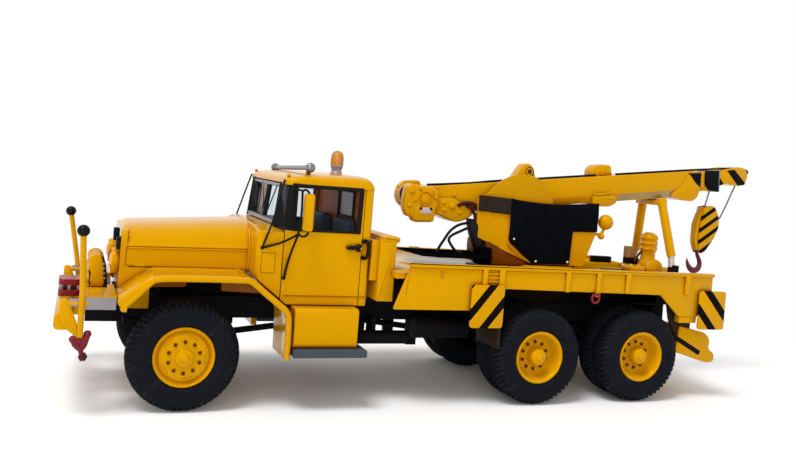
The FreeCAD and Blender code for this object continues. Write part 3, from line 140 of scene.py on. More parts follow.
paper, tree, output = blank_material("white_paper")
spot = add_node(tree, "ShaderNodeNewGeometry").outputs["Position"]
reach = add_node(tree, "ShaderNodeVectorMath", {"operation": "LENGTH"}, i0=spot).outputs["Value"]
fade = add_node(
    tree, "ShaderNodeMapRange", {"interpolation_type": "SMOOTHSTEP"},
    Value=reach, i1=paper_fade_start, i2=paper_fade_end,
)
rays = add_node(tree, "ShaderNodeLightPath").outputs
matt = add_node(tree, "ShaderNodeBsdfDiffuse", Color="FFFFFF")
glow = add_node(tree, "ShaderNodeEmission", Color=(1, 1, 1, 1), Strength=1.0)
lit = add_node(
    tree, "ShaderNodeMath", {"operation": "MULTIPLY"}, i0=fade, i1=rays["Is Camera Ray"]
)
mix = add_node(tree, "ShaderNodeMixShader", i0=lit, i1=matt, i2=glow)
tree.links.new(mix.outputs[0], output.inputs[0])
half = floor_size / 2
floor_mesh = bpy.data.meshes.new("paper_floor")
floor_mesh.from_pydata([(-half, -half, 0), (half, -half, 0), (half, half, 0), (-half, half, 0)], [], [(0, 1, 2, 3)])
floor_mesh.materials.append(paper)
floor = bpy.data.objects.new("paper_floor", floor_mesh)
bpy.context.scene.collection.objects.link(floor)


def soft_box(name, at, aim, size, power):
    """A square lamp at a place in metres, turned to face another place."""
    data = bpy.data.lights.new(name, "AREA")
    data.size, data.energy = size, power
    lamp = bpy.data.objects.new(name, data)
    bpy.context.scene.collection.objects.link(lamp)
    lamp.location = at
    lamp.rotation_euler = (Vector(aim) - Vector(at)).to_track_quat("-Z", "Y").to_euler()


soft_box("key_light", (-0.35, -0.25, 0.85), (0, 0, 0.02), key_size, key_power)
soft_box("fill_light", (-0.35, -0.8, 0.30), (0, 0, 0.03), fill_size, fill_power)

# Chassis rails, axles, springs, shafts, tanks and the engine: cast and soldered metal under a satin black
# enamel, sprayed thin. They stay the CAD solids, with a small bevel where the paint rounds their edges.
satin_black = "0C0C0E"
dusty_black = "17171B"
# Bevel widths in metres, from clear film to thick cast resin.
film_edge, trim_edge, paint_edge, plate_edge = 0.00005, 0.0001, 0.00012, 0.0002
sheet_edge, cast_edge, resin_edge = 0.00025, 0.0003, 0.0004


def enamel(name, colour, worn, corner, roughness, shine, grain, glint=None):
    """Sprayed enamel: two close colours in soft clouds, a third one painted as shade in corners where ambient
    occlusion finds them, orange-peel bump. A glint colours what the coat reflects straight on."""
    material, tree, output = blank_material(name)
    spot = add_node(tree, "ShaderNodeTexCoord").outputs["Object"]
    clouds = add_node(tree, "ShaderNodeTexNoise", Vector=spot, Scale=120.0, Detail=3.0, Roughness=0.6)
    tint = mixed(tree, clouds.outputs["Fac"], colour, worn)
    # Painted shade: where ambient occlusion finds a corner or crease, the tint turns to the corner colour.
    corners = add_node(tree, "ShaderNodeAmbientOcclusion", {"samples": 6}, Distance=0.0016)
    unshaded_share = add_node(tree, "ShaderNodeMapRange", Value=corners.outputs["AO"], i1=0.3, i2=0.85)
    tint = mixed(tree, unshaded_share, corner, tint)
    peel = add_node(tree, "ShaderNodeTexNoise", Vector=spot, Scale=grain, Detail=2.0)
    bump = add_node(tree, "ShaderNodeBump", Strength=0.10, Distance=0.00008, Height=peel.outputs["Fac"])
    gloss = add_node(
        tree, "ShaderNodeMapRange", Value=clouds.outputs["Fac"], i3=roughness * 0.85, i4=roughness * 1.2
    )
    paint = add_node(
        tree, "ShaderNodeBsdfPrincipled",
        Base_Color=tint, Roughness=gloss, Normal=bump,
        Specular_IOR_Level=shine, Specular_Tint=glint or "FFFFFF",
    )
    tree.links.new(paint.outputs[0], output.inputs[0])
    return material


# Satin enamel scatters most of its shine, so the undercarriage reads as one soft black shape.
black_enamel = enamel("satin_black_enamel", satin_black, dusty_black, satin_black, 0.5, 0.03, 2600.0)


def rounded_cad(node, material, width=paint_edge, angle=40):
    """Dress a CAD node: its loose triangles are welded, its edges bevelled and its flats kept flat."""
    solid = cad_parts[node]
    solid.data.materials.clear()
    solid.data.materials.append(material)
    weld = solid.modifiers.new("weld", "WELD")
    weld.merge_threshold = 1e-6
    flats = solid.modifiers.new("flats", "DECIMATE")
    flats.decimate_type = "DISSOLVE"
    flats.angle_limit = math.radians(0.5)
    bevel = solid.modifiers.new("paint_edge", "BEVEL")
    bevel.width = width
    bevel.segments = 2
    bevel.limit_method = "ANGLE"
    bevel.angle_limit = math.radians(angle)
    bevel.use_clamp_overlap = True
    bevel.harden_normals = True
    return solid


for node in ("frame_rails", "front_axle", "rear_bogie", "driveline", "engine_block", "under_tanks"):
    rounded_cad(node, black_enamel)

# Body sheets and castings that stay the CAD solids: cast metal and etched sheet under thick glossy yellow
# enamel, so every edge is round. The deeper orange in the corners is painted shade.
glossy_yellow = "D09806"
deep_yellow = "C88E04"
painted_shade_orange = "A05200"
yellow_glint = "FFB400"
yellow_enamel = enamel(
    "glossy_yellow_enamel", glossy_yellow, deep_yellow, painted_shade_orange, 0.17, 0.42, 1500.0, yellow_glint
)
for node in (
    "side_boxes", "cab_floor", "cab_rear_wall", "door_left", "door_right",
    "front_bumper", "headboard_box", "turret_housing",
):
    rounded_cad(node, yellow_enamel, sheet_edge)

# Tyres: ten moulded rubber tyres, matt navy-black with a dusty tread. Each sits on its rim by its bead. The
# walls are smooth, and short lugs stand round both shoulders with a zigzag groove between them.
tyre_radius, tyre_width = 10.9, 5.8
front_tyre_face, rear_tyre_face, twin_gap = 22.0, 24.4, 0.8
axles_x = {"front": 0.0, "mid": 77.4, "rear": 104.9}
lug_count, lug_depth = 54, 0.34
lug_foot, lug_rise = 9.5, 0.7
slot_lean, slot_least, slot_from = 2.4, 0.15, 0.8
zigzag_swing, zigzag_half = 0.45, 0.34
tyre_wall = [(5.75, -2.1), (6.1, -2.5), (6.7, -2.78), (7.6, -2.9), (8.6, -2.86), (9.4, -2.68), (10.1, -2.34)]
tyre_crown = [(10.6, -1.8), (10.82, -1.1), (10.9, -0.4)]
rubber_black, rubber_dust = "111319", "2E2E34"


def smooth_line(points, count):
    """A Catmull-Rom line through points: 0.5 (2b + (c - a)t + (2a - 5b + 4c - d)t^2 + (3b - a - 3c + d)t^3)."""
    p = np.asarray(points, float)
    p = np.vstack([2 * p[0] - p[1], p, 2 * p[-1] - p[-2]])
    at = np.linspace(0, len(p) - 3 - 1e-9, count)
    i = at.astype(int)
    t = (at - i)[:, None]
    a, b, c, d = p[i], p[i + 1], p[i + 2], p[i + 3]
    return 0.5 * (2 * b + (c - a) * t + (2 * a - 5 * b + 4 * c - d) * t**2 + (3 * b - a - 3 * c + d) * t**3)


def skin(rings, looped=True, caps=True):
    """Quads between neighbouring rings of points, with a face over each end ring where caps is set."""
    rings = np.asarray(rings, float)
    rows, count = rings.shape[:2]
    i, j = np.meshgrid(np.arange(rows - 1), np.arange(count if looped else count - 1), indexing="ij")
    i, j, k = i.ravel(), j.ravel(), (j.ravel() + 1) % count
    faces = np.stack([i * count + j, i * count + k, (i + 1) * count + k, (i + 1) * count + j], 1).tolist()
    if caps:
        faces += [list(range(count)), [(rows - 1) * count + n for n in range(count)]]
    return rings.reshape(-1, 3), faces


def piece(name, parts, material, body, *replaced, crease=35):
    """One object from (points, faces) parts in millimetres: welded, normals outward, riding on a body."""
    points, faces, base = [], [], 0
    for part_points, part_faces in parts:
        points.append(np.asarray(part_points, float))
        faces += [[base + n for n in face] for face in part_faces]
        base += len(part_points)
    mesh = bpy.data.meshes.new(name)
    mesh.from_pydata(place(np.vstack(points)).tolist(), [], faces)
    work = bmesh.new()
    work.from_mesh(mesh)
    bmesh.ops.remove_doubles(work, verts=work.verts, dist=1e-6)
    bmesh.ops.dissolve_degenerate(work, edges=work.edges, dist=1e-7)
    bmesh.ops.recalc_face_normals(work, faces=work.faces)
    work.to_mesh(mesh)
    work.free()
    mesh.shade_smooth()
    mesh.set_sharp_from_angle(angle=math.radians(crease))
    mesh.materials.append(material)
    made = bpy.data.objects.new(name, mesh)
    bpy.context.scene.collection.objects.link(made)
    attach(made, body)
    if replaced:
        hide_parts(*replaced)
    return made


def tyre(x, middle_y):
    """The wall and crown line turned about the axle. Lugs sink it by lug_depth T(r) G, where T rises from 0 at
    r 9.5 to 1 at 10.2 and G is 1 in a groove: 54 slots, cos(54 a + 2.4 |w|) < -0.15 where |w| > 0.8, and the
    zigzag |w - 0.45 cos 27 a| < 0.34. The grooves' walls slope a little."""
    half_line = smooth_line(tyre_wall + tyre_crown, 19)
    line = np.vstack([half_line, half_line[::-1] * [1, -1]])
    r, w = line[:, 0], line[:, 1]
    out = np.stack([np.gradient(w), -np.gradient(r)], 1)
    out /= np.linalg.norm(out, axis=1, keepdims=True)
    a = np.linspace(0, 2 * math.pi, lug_count * 6 + 1)[:, None]
    slot = np.clip(-(np.cos(lug_count * a + slot_lean * np.abs(w)) + slot_least) * 3, 0, 1)
    zigzag = np.clip((zigzag_half - np.abs(w - zigzag_swing * np.cos(lug_count / 2 * a))) * 6, 0, 1)
    slot = slot * np.clip((np.abs(w) - slot_from) * 4, 0, 1)
    sink = lug_depth * np.clip((r - lug_foot) / lug_rise, 0, 1) * np.maximum(slot, zigzag)
    rr, ww = r - sink * out[:, 0], w - sink * out[:, 1]
    return skin(np.stack([x + rr * np.cos(a), middle_y + ww + 0 * a, tyre_radius + rr * np.sin(a)], 2), caps=False)


rubber, tree, output = blank_material("matt_tyre_rubber")
spot = add_node(tree, "ShaderNodeTexCoord").outputs["Object"]
dust = add_node(tree, "ShaderNodeTexNoise", Vector=spot, Scale=900.0, Detail=4.0, Roughness=0.7)
worn = add_node(tree, "ShaderNodeNewGeometry").outputs["Pointiness"]
worn = add_node(tree, "ShaderNodeMapRange", Value=worn, i1=0.5, i2=0.56)
dusty = add_node(tree, "ShaderNodeMapRange", Value=dust.outputs["Fac"], i1=0.46, i2=0.72)
dusty = add_node(tree, "ShaderNodeMath", {"operation": "MULTIPLY"}, i0=dusty, i1=worn)
tint = mixed(tree, dusty, rubber_black, rubber_dust)
bump = add_node(tree, "ShaderNodeBump", Strength=0.2, Distance=0.00008, Height=dust.outputs["Fac"])
# Rubber is nearly shineless, so its shape shows only where a lug's edge catches the lamp.
matt = add_node(
    tree, "ShaderNodeBsdfPrincipled",
    Base_Color=tint, Roughness=0.62, Specular_IOR_Level=0.05, Normal=bump,
)
tree.links.new(matt.outputs[0], output.inputs[0])

for side, out_y in (("left", -1), ("right", 1)):
    for axle, x in axles_x.items():
        if axle == "front":
            ring_y = [front_tyre_face - tyre_width / 2]
            node = "tyre_front_" + side
        else:
            ring_y = [rear_tyre_face - tyre_width / 2 - n * (tyre_width + twin_gap) for n in (0, 1)]
            node = "tyres_" + axle + "_" + side
        body = "wheel_" + axle + "_" + side
        piece("rubber_" + node, [tyre(x, out_y * y) for y in ring_y], rubber, body, node, crease=60)

# Rims: turned discs under the same yellow enamel. The front one bulges and has a ring of ten nuts and five thin
# slots. The rear one is a deep dish with its nuts at the bottom, round a hub that stands out of it.
nut_red = "4A1608"
front_face = [
    (0.0, -1.25), (0.5, -1.22), (0.8, -1.1), (0.95, -0.75), (1.45, -0.66), (1.72, -0.42), (1.8, 0.1), (2.3, 0.34),
    (3.1, 0.36), (3.9, 0.5), (4.5, 0.7), (4.86, 0.98), (5.0, 1.05), (5.14, 0.92), (5.3, 0.6), (5.5, 0.34),
    (5.72, 0.2), (5.9, 0.34), (5.96, 0.7), (5.9, 1.1), (5.9, 1.6), (5.0, 1.9), (0.0, 1.5),
]
rear_face = [
    (0.0, -0.15), (0.6, -0.12), (0.9, 0.05), (1.0, 0.3), (1.45, 0.42), (1.75, 0.62), (1.85, 1.0), (1.9, 2.5),
    (2.05, 2.95), (2.4, 3.15), (3.6, 3.25), (4.2, 3.0), (4.6, 2.4), (4.85, 1.5), (5.1, 0.75), (5.35, 0.36),
    (5.62, 0.2), (5.88, 0.34), (5.96, 0.7), (5.9, 1.1), (5.9, 1.6), (5.3, 1.9), (5.0, 4.0), (0.0, 4.0),
]
# Behind the face the rim goes on as a black tube, closed by a black disc round the axle.
front_back = [
    (0.0, 1.52), (5.0, 1.92), (5.88, 1.6), (5.88, 5.0), (5.2, 5.1), (5.0, 3.4), (2.6, 2.8), (2.5, 5.1), (0.0, 5.1),
]
rear_back = [
    (0.0, 4.02), (5.0, 4.02), (5.3, 1.95), (5.88, 1.6), (5.88, 11.6), (5.1, 11.7), (5.0, 4.9), (2.7, 4.6),
    (2.6, 11.7), (0.0, 11.7),
]
nut_radius, nut_ring, rim_around = 0.36, 3.1, 72


def lathe(profile, centre, inward, around):
    """A (radius, depth) line turned about an axle along y: (x + r cos a, y + inward d, z + r sin a)."""
    r, d = np.asarray(profile, float).T[:, :, None]
    a = np.linspace(0, 2 * math.pi, around, endpoint=False)
    x, y, z = centre
    return skin(np.stack([x + r * np.cos(a), y + inward * d + 0 * a, z + r * np.sin(a)], 2), caps=False)


def hexagon_nut(x, y, z, inward, radius, height):
    """A six-sided nut with a domed end, its foot sunk in the disc at y."""
    rings = [(radius, height * 0.6), (radius, -height * 0.5), (radius * 0.8, -height * 0.8), (0.0, -height)]
    return lathe(rings, (x, y, z), inward, 6)


dark_nut = enamel("dark_red_nut_paint", nut_red, nut_red, nut_red, 0.4, 0.3, 3000.0)
for side, out_y in (("left", -1), ("right", 1)):
    for axle, x in axles_x.items():
        body, node = "wheel_" + axle + "_" + side, "rim_" + axle + "_" + side
        face_y = out_y * (front_tyre_face if axle == "front" else rear_tyre_face)
        profile, depth = (front_face, 0.3) if axle == "front" else (rear_face, 3.1)
        disc = [lathe(profile, (x, face_y, tyre_radius), -out_y, rim_around)]
        if axle == "front":
            for n in range(5):
                a = np.radians(68 + 72 * n) + np.linspace(-0.24, 0.24, 7)[:, None]
                lip = np.array([(4.05, 0.62), (4.12, 0.42), (4.3, 0.5), (4.36, 0.82)])
                r, d = lip.T
                ring = np.stack(
                    [x + r * np.cos(a), face_y - out_y * d + 0 * a, tyre_radius + r * np.sin(a)], 2
                )
                disc.append(skin(ring))
        piece("disc_" + node, disc, yellow_enamel, body, node, crease=50)
        back = lathe(front_back if axle == "front" else rear_back, (x, face_y, tyre_radius), -out_y, rim_around)
        piece("back_" + node, [back], black_enamel, body, crease=50)
        nuts = []
        for n in range(10):
            a = math.radians(90 + 36 * n)
            at = (x + nut_ring * math.cos(a), face_y - out_y * depth, tyre_radius + nut_ring * math.sin(a))
            nuts.append(hexagon_nut(*at, -out_y, nut_radius, 0.42))
        piece("nuts_" + node, nuts, dark_nut, body, crease=40)

# Front bumper: the CAD frame of cast beam, trays and braces in yellow enamel. Laid on it are the bright metal
# bands along the trays, the end legs, the maroon shackles below and the black balls on the marker posts.
band_grey, crimson, ball_black = "8A8688", "A01018", "0A0A0C"
dark_crimson = "5A0A14"
post_balls = [(-19.7, -24.1, 34.9), (-22.2, 24.1, 34.9)]
post_ball_radius = 1.13


def softened(outline, radius, steps=4):
    """Round an outline's corners by quadratic arcs (1 - t)^2 a + 2 t (1 - t) corner + t^2 b."""
    p = np.asarray(outline, float)
    line = []
    for before, corner, after in zip(np.roll(p, 1, 0), p, np.roll(p, -1, 0)):
        ends = []
        for other in (before, after):
            run = other - corner
            length = np.linalg.norm(run)
            ends.append(corner + run / length * min(radius, length * 0.49))
        t = np.linspace(0, 1, steps + 1)[:, None]
        line.append((1 - t) ** 2 * ends[0] + 2 * t * (1 - t) * corner + t**2 * ends[1])
    return np.vstack(line)


def inset(outline, depth):
    """Move each point of a closed outline inward along the mean normal of its two runs."""
    p = np.asarray(outline, float)
    run = np.roll(p, -1, 0) - np.roll(p, 1, 0)
    normal = np.stack([run[:, 1], -run[:, 0]], 1) / np.maximum(np.linalg.norm(run, axis=1), 1e-9)[:, None]
    area = np.sum(p[:, 0] * np.roll(p[:, 1], -1) - np.roll(p[:, 0], -1) * p[:, 1])
    return p - normal * depth * math.copysign(1, area)


def lifted(outline, height, along):
    """An outline's (u, v) points at a height along one axis: (x, z) for y, (y, z) for x, (x, y) for z."""
    u, v = np.asarray(outline, float).T
    w = np.full(len(u), float(height))
    return np.stack({"y": (u, w, v), "x": (w, u, v), "z": (u, v, w)}[along], 1)


def slab(outline, low, high, along="y", edge=0.15):
    """An outline carried from low to high with both rims rounded off by edge."""
    steps = [(low, edge), (low + edge * 0.3, edge * 0.3), (low + edge, 0.0)]
    steps += [(low + high - height, depth) for height, depth in steps[::-1]]
    return skin([lifted(inset(outline, depth) if depth else outline, height, along) for height, depth in steps])


def cast(outline, radius, low, high, edge, steps=4):
    """A slab along y whose outline has softened corners."""
    return slab(softened(outline, radius, steps), low, high, "y", edge)


def box_slab(x0, x1, y0, y1, z0, z1, radius=0.3, edge=0.15):
    """A block with rounded upright corners in its side view and rounded rims."""
    return cast([(x0, z0), (x1, z0), (x1, z1), (x0, z1)], radius, y0, y1, edge)


def across(s, first, second):
    """Two distances from the middle as a rising y range on side s."""
    return sorted((s * first, s * second))


def framed(outer, inner, low, high, along="y", edge=0.08):
    """A plate with a hole: outer and inner outlines hold as many points, and all four rims are rounded."""
    rings = []
    for line, sign in ((outer, 1), (inner, -1)):
        heights = [(low, edge), (low + edge, 0.0), (high - edge, 0.0), (high, edge)][::sign]
        rings += [lifted(inset(line, sign * depth) if depth else line, height, along) for height, depth in heights]
    rings.append(rings[0])
    return skin(rings, caps=False)


def tube(route, radius, around=10, steps=None):
    """A round bar along a smooth line through the route, its rings turned without twist; radius may vary."""
    line = smooth_line(route, steps or max(2, 5 * (len(route) - 1) + 1))
    run = np.gradient(line, axis=0)
    run /= np.linalg.norm(run, axis=1, keepdims=True)
    side = np.cross(run[0], [0.31, 0.57, 0.76])
    a = np.linspace(0, 2 * math.pi, around, endpoint=False)[:, None]
    rings = []
    for n, (at, way) in enumerate(zip(line, run)):
        side = side - way * side.dot(way)
        side /= np.linalg.norm(side)
        r = np.interp(n / (len(line) - 1), np.linspace(0, 1, np.size(radius)), np.atleast_1d(radius))
        rings.append(at + r * (np.cos(a) * side + np.sin(a) * np.cross(way, side)))
    return skin(rings)


def ball(centre, radius, around=20, squeeze=1.0):
    """A sphere turned about y, its poles closed: (r sin a, r cos a squeezed)."""
    a = np.linspace(0, math.pi, around // 2 + 1)
    return lathe(np.stack([radius * np.sin(a), -radius * squeeze * np.cos(a)], 1), centre, 1, around)


def plain_paint(name, colour, roughness, shine, metal=0.0, grain=0.10):
    """One colour with a fine uneven brushed film: the film's noise moves the gloss and the bump."""
    material, tree, output = blank_material(name)
    spot = add_node(tree, "ShaderNodeTexCoord").outputs["Object"]
    film = add_node(tree, "ShaderNodeTexNoise", Vector=spot, Scale=1400.0, Detail=3.0)
    gloss = add_node(tree, "ShaderNodeMapRange", Value=film.outputs["Fac"], i3=roughness * 0.8, i4=roughness * 1.25)
    bump = add_node(tree, "ShaderNodeBump", Strength=grain, Distance=0.00006, Height=film.outputs["Fac"])
    coat = add_node(
        tree, "ShaderNodeBsdfPrincipled", Base_Color=colour, Metallic=metal,
        Roughness=gloss, Specular_IOR_Level=shine, Normal=bump,
    )
    tree.links.new(coat.outputs[0], output.inputs[0])
    return material


bright_metal = plain_paint("dull_bright_metal", band_grey, 0.4, 0.4, 0.6)
gloss_black = plain_paint("gloss_black_lacquer", ball_black, 0.2, 0.12)
crimson_paint = enamel("crimson_enamel", crimson, dark_crimson, dark_crimson, 0.3, 0.25, 1800.0)
crimson_dark = enamel("dark_crimson_enamel", dark_crimson, ball_black, ball_black, 0.35, 0.2, 1800.0)

piece("marker_balls", [ball(at, post_ball_radius, 28) for at in post_balls], gloss_black, "chassis", crease=60)
bands, legs, shackles, shackle_tips = [], [], [], []
for s in (-1, 1):
    y = across(s, 24.12, 23.2)
    bands.append(box_slab(-18.6, -13.2, *y, 20.45, 22.7, 0.2, 0.06))
    bands.append(box_slab(-21.2, -18.9, *y, 21.0, 22.3, 0.2, 0.06))
    leg = [
        (-22.9, 19.0), (-22.8, 22.3), (-21.6, 22.3), (-20.6, 19.4), (-18.8, 15.3), (-19.7, 15.3), (-21.6, 16.9),
        (-22.6, 18.0),
    ]
    legs.append(cast(leg, 0.45, *across(s, 24.2, 23.1), 0.2))
    middle = s * 23.7
    for x0, z0 in ((-20.2, 14.9), (-17.8, 15.9)):
        shackles.append(
            tube([(x0, middle, z0), ((x0 - 19.0) / 2, middle, 13.9), (-18.85, middle, 13.0)], [0.62, 0.7, 0.5])
        )
        shackles.append(ball((x0, middle, z0), 0.72))
    shackles.append(box_slab(-20.3, -18.2, middle - 0.55, middle + 0.55, 14.0, 15.6, 0.5, 0.2))
    shackles.append(tube([(-18.85, middle, 13.3), (-18.6, middle, 12.2), (-18.35, middle, 11.6)], [0.5, 0.42, 0.4]))
    shackle_tips.append(ball((-18.35, middle, 11.7), 0.95, 6, 0.8))
piece("tray_bands", bands, bright_metal, "chassis")
piece("bumper_legs", legs, yellow_enamel, "chassis")
maroon_paint = enamel("maroon_enamel", "7E1020", dark_crimson, dark_crimson, 0.3, 0.25, 1800.0)
piece("front_shackles", shackles, maroon_paint, "chassis", crease=50)
piece("shackle_pins", shackle_tips, crimson_dark, "chassis", crease=20)

# Front coupling: the two jaws on their post, cast metal in crimson enamel. They stay the CAD solid.
rounded_cad("tow_coupling", crimson_paint, cast_edge)

# Front winch: a cast case with a round top and three ribs across it, yellow enamel. The lacquered black strap
# down its back carries a row of bright studs.
winch_line = [
    (-15.2, 21.9), (-14.9, 22.6), (-15.1, 24.3), (-15.0, 26.4), (-15.3, 27.6), (-16.0, 28.45), (-17.0, 28.6),
    (-17.9, 28.1), (-18.3, 27.3), (-17.9, 26.7), (-18.35, 25.9), (-18.3, 25.2), (-17.85, 24.7), (-18.35, 23.9),
    (-18.3, 23.2), (-17.8, 22.7), (-18.2, 21.9),
]
winch_reach = 6.0
winch_parts = [cast(winch_line, 0.35, -winch_reach, winch_reach, 0.35, steps=3)]
for y in np.linspace(-winch_reach + 1.5, winch_reach - 1.5, 5):
    rib = inset(softened(winch_line, 0.35, 3), -0.12)
    winch_parts.append(slab(rib, y - 0.35, y + 0.35, "y", 0.15))
piece("winch_case", winch_parts, yellow_enamel, "chassis", "front_winch", crease=40)
strap = [
    (-15.8, 28.3), (-15.35, 28.1), (-14.85, 26.6), (-14.5, 24.2), (-14.3, 22.0), (-14.8, 21.9), (-15.1, 24.2),
    (-15.3, 26.4),
]
piece("winch_strap", [cast(strap, 0.2, -6.15, -5.2, 0.1, steps=2)], gloss_black, "chassis")
studs = [ball((-15.25 + 0.1 * n, -6.1, 26.6 - 0.95 * n), 0.26, 12) for n in range(4)]
piece("winch_studs", studs, bright_metal, "chassis", crease=60)
piece("winch_foot", [box_slab(-15.0, -13.6, -6.0, 6.0, 21.75, 22.2, 0.2, 0.1)], crimson_dark, "chassis")

# Grille: the CAD shell with its upright bars in yellow enamel, and a dark radiator behind the bars. On it sit
# the headlamps, moulded orange lenses in round yellow rims, and the black catches that hold the hood.
grille_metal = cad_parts["grille"].data.materials
grille_metal.clear()
grille_metal.append(yellow_enamel)
lens_orange, lens_pale = "D97A10", "F2B45A"
lamp_places = [(-13.8, s * 9.4, 27.9) for s in (-1, 1)]
lens, tree, output = blank_material("moulded_orange_lens")
spot = add_node(tree, "ShaderNodeTexCoord").outputs["Object"]
flutes = add_node(tree, "ShaderNodeTexWave", {"bands_direction": "Y"}, Vector=spot, Scale=420.0, Distortion=0.5)
tint = mixed(tree, flutes.outputs["Fac"], lens_orange, lens_pale)
bump = add_node(tree, "ShaderNodeBump", Strength=0.3, Distance=0.0001, Height=flutes.outputs["Fac"])
# Moulded resin is smooth, so the lens keeps a small bright spot of the lamp.
resin = add_node(
    tree, "ShaderNodeBsdfPrincipled", Base_Color=tint, Roughness=0.12, Normal=bump
)
tree.links.new(resin.outputs[0], output.inputs[0])


def lathe_x(profile, centre, around):
    """A (radius, depth) line turned about an axle along x, depth running to the rear."""
    points, faces = lathe(profile, (0, 0, 0), 1, around)
    return points[:, [1, 0, 2]] + np.array(centre), faces


bezel_line = [(2.0, 0.25), (2.15, -0.25), (2.4, -0.3), (2.55, 0.0), (2.5, 0.8), (2.2, 1.6), (1.7, 2.1), (0.0, 2.2)]
lens_line = [(0.0, -0.75), (0.8, -0.66), (1.5, -0.35), (1.95, 0.05), (2.1, 0.4), (0.0, 0.6)]
piece("lamp_bezels", [lathe_x(bezel_line, at, 40) for at in lamp_places], yellow_enamel, "chassis", crease=50)
piece("lamp_lenses", [lathe_x(lens_line, at, 40) for at in lamp_places], lens, "chassis", "headlamps", crease=60)
catches = [
    box_slab(-14.0, -12.8, -9.6, -8.2, 31.9, 34.5, 0.3, 0.2),
    box_slab(-13.5, -12.3, -12.3, -11.3, 30.4, 33.0, 0.3, 0.2),
]
piece("hood_catches", catches, gloss_black, "chassis")
cores = [box_slab(-11.0, -10.2, -9.4, 9.4, 23.0, 33.6, 0.3, 0.1)]
piece("radiator_core", cores, black_enamel, "chassis")

# Hood: pressed sheet in yellow enamel with a soft crease along each side and a crowned top, rounded down over
# the grille. Two engraved lines run along the sides, painted brown as shade in the grooves.
hood_front, hood_rear = -12.55, 12.9
hood_bottom_z, hood_crease_front, hood_crease_rear = 27.0, 31.5, 31.9
hood_top_front, hood_top_rear, hood_nose_radius = 35.5, 37.3, 1.7
hood_side = [(12.4, 0.0), (12.4, 0.25), (12.4, 0.6), (12.4, 0.92), (12.36, 1.0)]
hood_crown = [
    (12.25, 0.02), (12.1, 0.1), (11.9, 0.22), (11.4, 0.42), (10.6, 0.62), (9.3, 0.78), (7.4, 0.89), (4.4, 0.97),
    (0.0, 1.0),
]
# The grooves' brown is painted shade in the engraved lines.
groove_shade_brown = "9A5E04"
groove_shade_paint = plain_paint("painted_shade_in_grooves", groove_shade_brown, 0.5, 0.1)


def hood_surface():
    """Rings across the hood: side points rise from the bottom to the crease, crown points from crease to top.
    Each ring comes back inside at (0.95 y, z - 0.07 h), h above the bottom, which leaves a sheet of 0.6 mm.
    Over the first 1.7 mm the top sinks by r - sqrt(r^2 - (r - t)^2), so the front edge is round."""
    rings = []
    t = np.concatenate([np.array([0, 0.06, 0.2, 0.45, 0.8, 1.2, 1.7]), np.linspace(3.0, hood_rear - hood_front, 14)])
    for run in t:
        share = run / (hood_rear - hood_front)
        crease = hood_crease_front + (hood_crease_rear - hood_crease_front) * share
        top = hood_top_front + (hood_top_rear - hood_top_front) * share
        short = max(0.0, hood_nose_radius - run)
        sunk = hood_nose_radius - math.sqrt(hood_nose_radius**2 - short**2)
        half = [(y - sunk * 0.18, hood_bottom_z + (crease - hood_bottom_z) * h) for y, h in hood_side]
        half += [(y - sunk * 0.3, crease + (top - sunk - crease) * h) for y, h in hood_crown]
        whole = half + [(-y, z) for y, z in half[-2::-1]]
        whole += [(0.95 * y, z - 0.07 * (z - hood_bottom_z)) for y, z in whole[::-1]]
        rings.append([(hood_front + run, y, z) for y, z in whole])
    return skin(rings, looped=True, caps=True)


piece("hood_shell", [hood_surface()], yellow_enamel, "chassis", "hood", crease=48)
grooves, beads = [], []
for s in (-1, 1):
    y = s * 12.42
    grooves.append(tube([(-11.3, y, 31.15), (12.4, y, 31.5)], 0.07, 8))
    beads.append(tube([(-11.2, y, 30.85), (12.3, y, 31.2)], 0.16, 8))
    for x0, x1 in ((-11.4, -9.6), (-7.8, 10.0), (11.0, 12.6)):
        grooves.append(tube([(x0, y, 27.35), (x1, y, 27.35)], 0.07, 8))
    grooves.append(tube([(-11.55, y, 27.4), (-11.45, y, 31.1)], 0.08, 8))
    beads.append(
        tube(
            [(12.75, s * 12.5, 27.4), (12.75, s * 12.5, 31.9), (12.75, s * 11.9, 33.6), (12.75, s * 10.4, 35.6)], 0.3,
            8,
        )
    )
piece("hood_grooves", grooves, groove_shade_paint, "chassis")
piece("hood_beads", beads, yellow_enamel, "chassis", crease=60)

# Wings: cast strips in yellow enamel with a thick rolled lip, soldered along the hood's foot. The nose curls
# under, and a flat apron closes the gap to the chassis beside the engine, painted orange-brown as shade.
wing_path = [
    (-11.3, 20.0), (-12.1, 20.1), (-12.5, 20.8), (-12.1, 21.6), (-10.2, 23.5), (-8.0, 25.8), (-7.2, 26.5),
    (-6.0, 26.9), (-3.0, 27.08), (4.0, 27.15), (10.6, 27.1), (11.7, 26.85), (12.8, 26.15), (14.9, 24.45),
    (17.8, 22.2), (19.0, 21.2), (19.8, 20.1), (20.1, 18.6), (20.2, 16.0), (20.3, 10.9),
]
wing_section = [
    (12.42, 0.1), (12.7, -0.22), (13.3, -0.36), (15.0, -0.3), (20.0, -0.12), (22.9, 0.02), (23.6, 0.04),
    (24.0, -0.14), (24.2, -0.5), (24.18, -0.9), (23.9, -1.16), (23.4, -1.22), (23.0, -1.12), (20.0, -1.14),
    (12.42, -1.2),
]


def wing(side):
    """The section (y, height along the path's normal) carried along a smooth path in the (x, z) plane."""
    line = smooth_line(wing_path, 90)
    run = np.gradient(line, axis=0)
    run /= np.linalg.norm(run, axis=1, keepdims=True)
    normal = np.stack([-run[:, 1], run[:, 0]], 1)
    y, h = np.array(wing_section).T
    x = line[:, 0, None] + normal[:, 0, None] * h
    z = line[:, 1, None] + normal[:, 1, None] * h
    return skin(np.stack([x, side * y + 0 * x, z], 2))


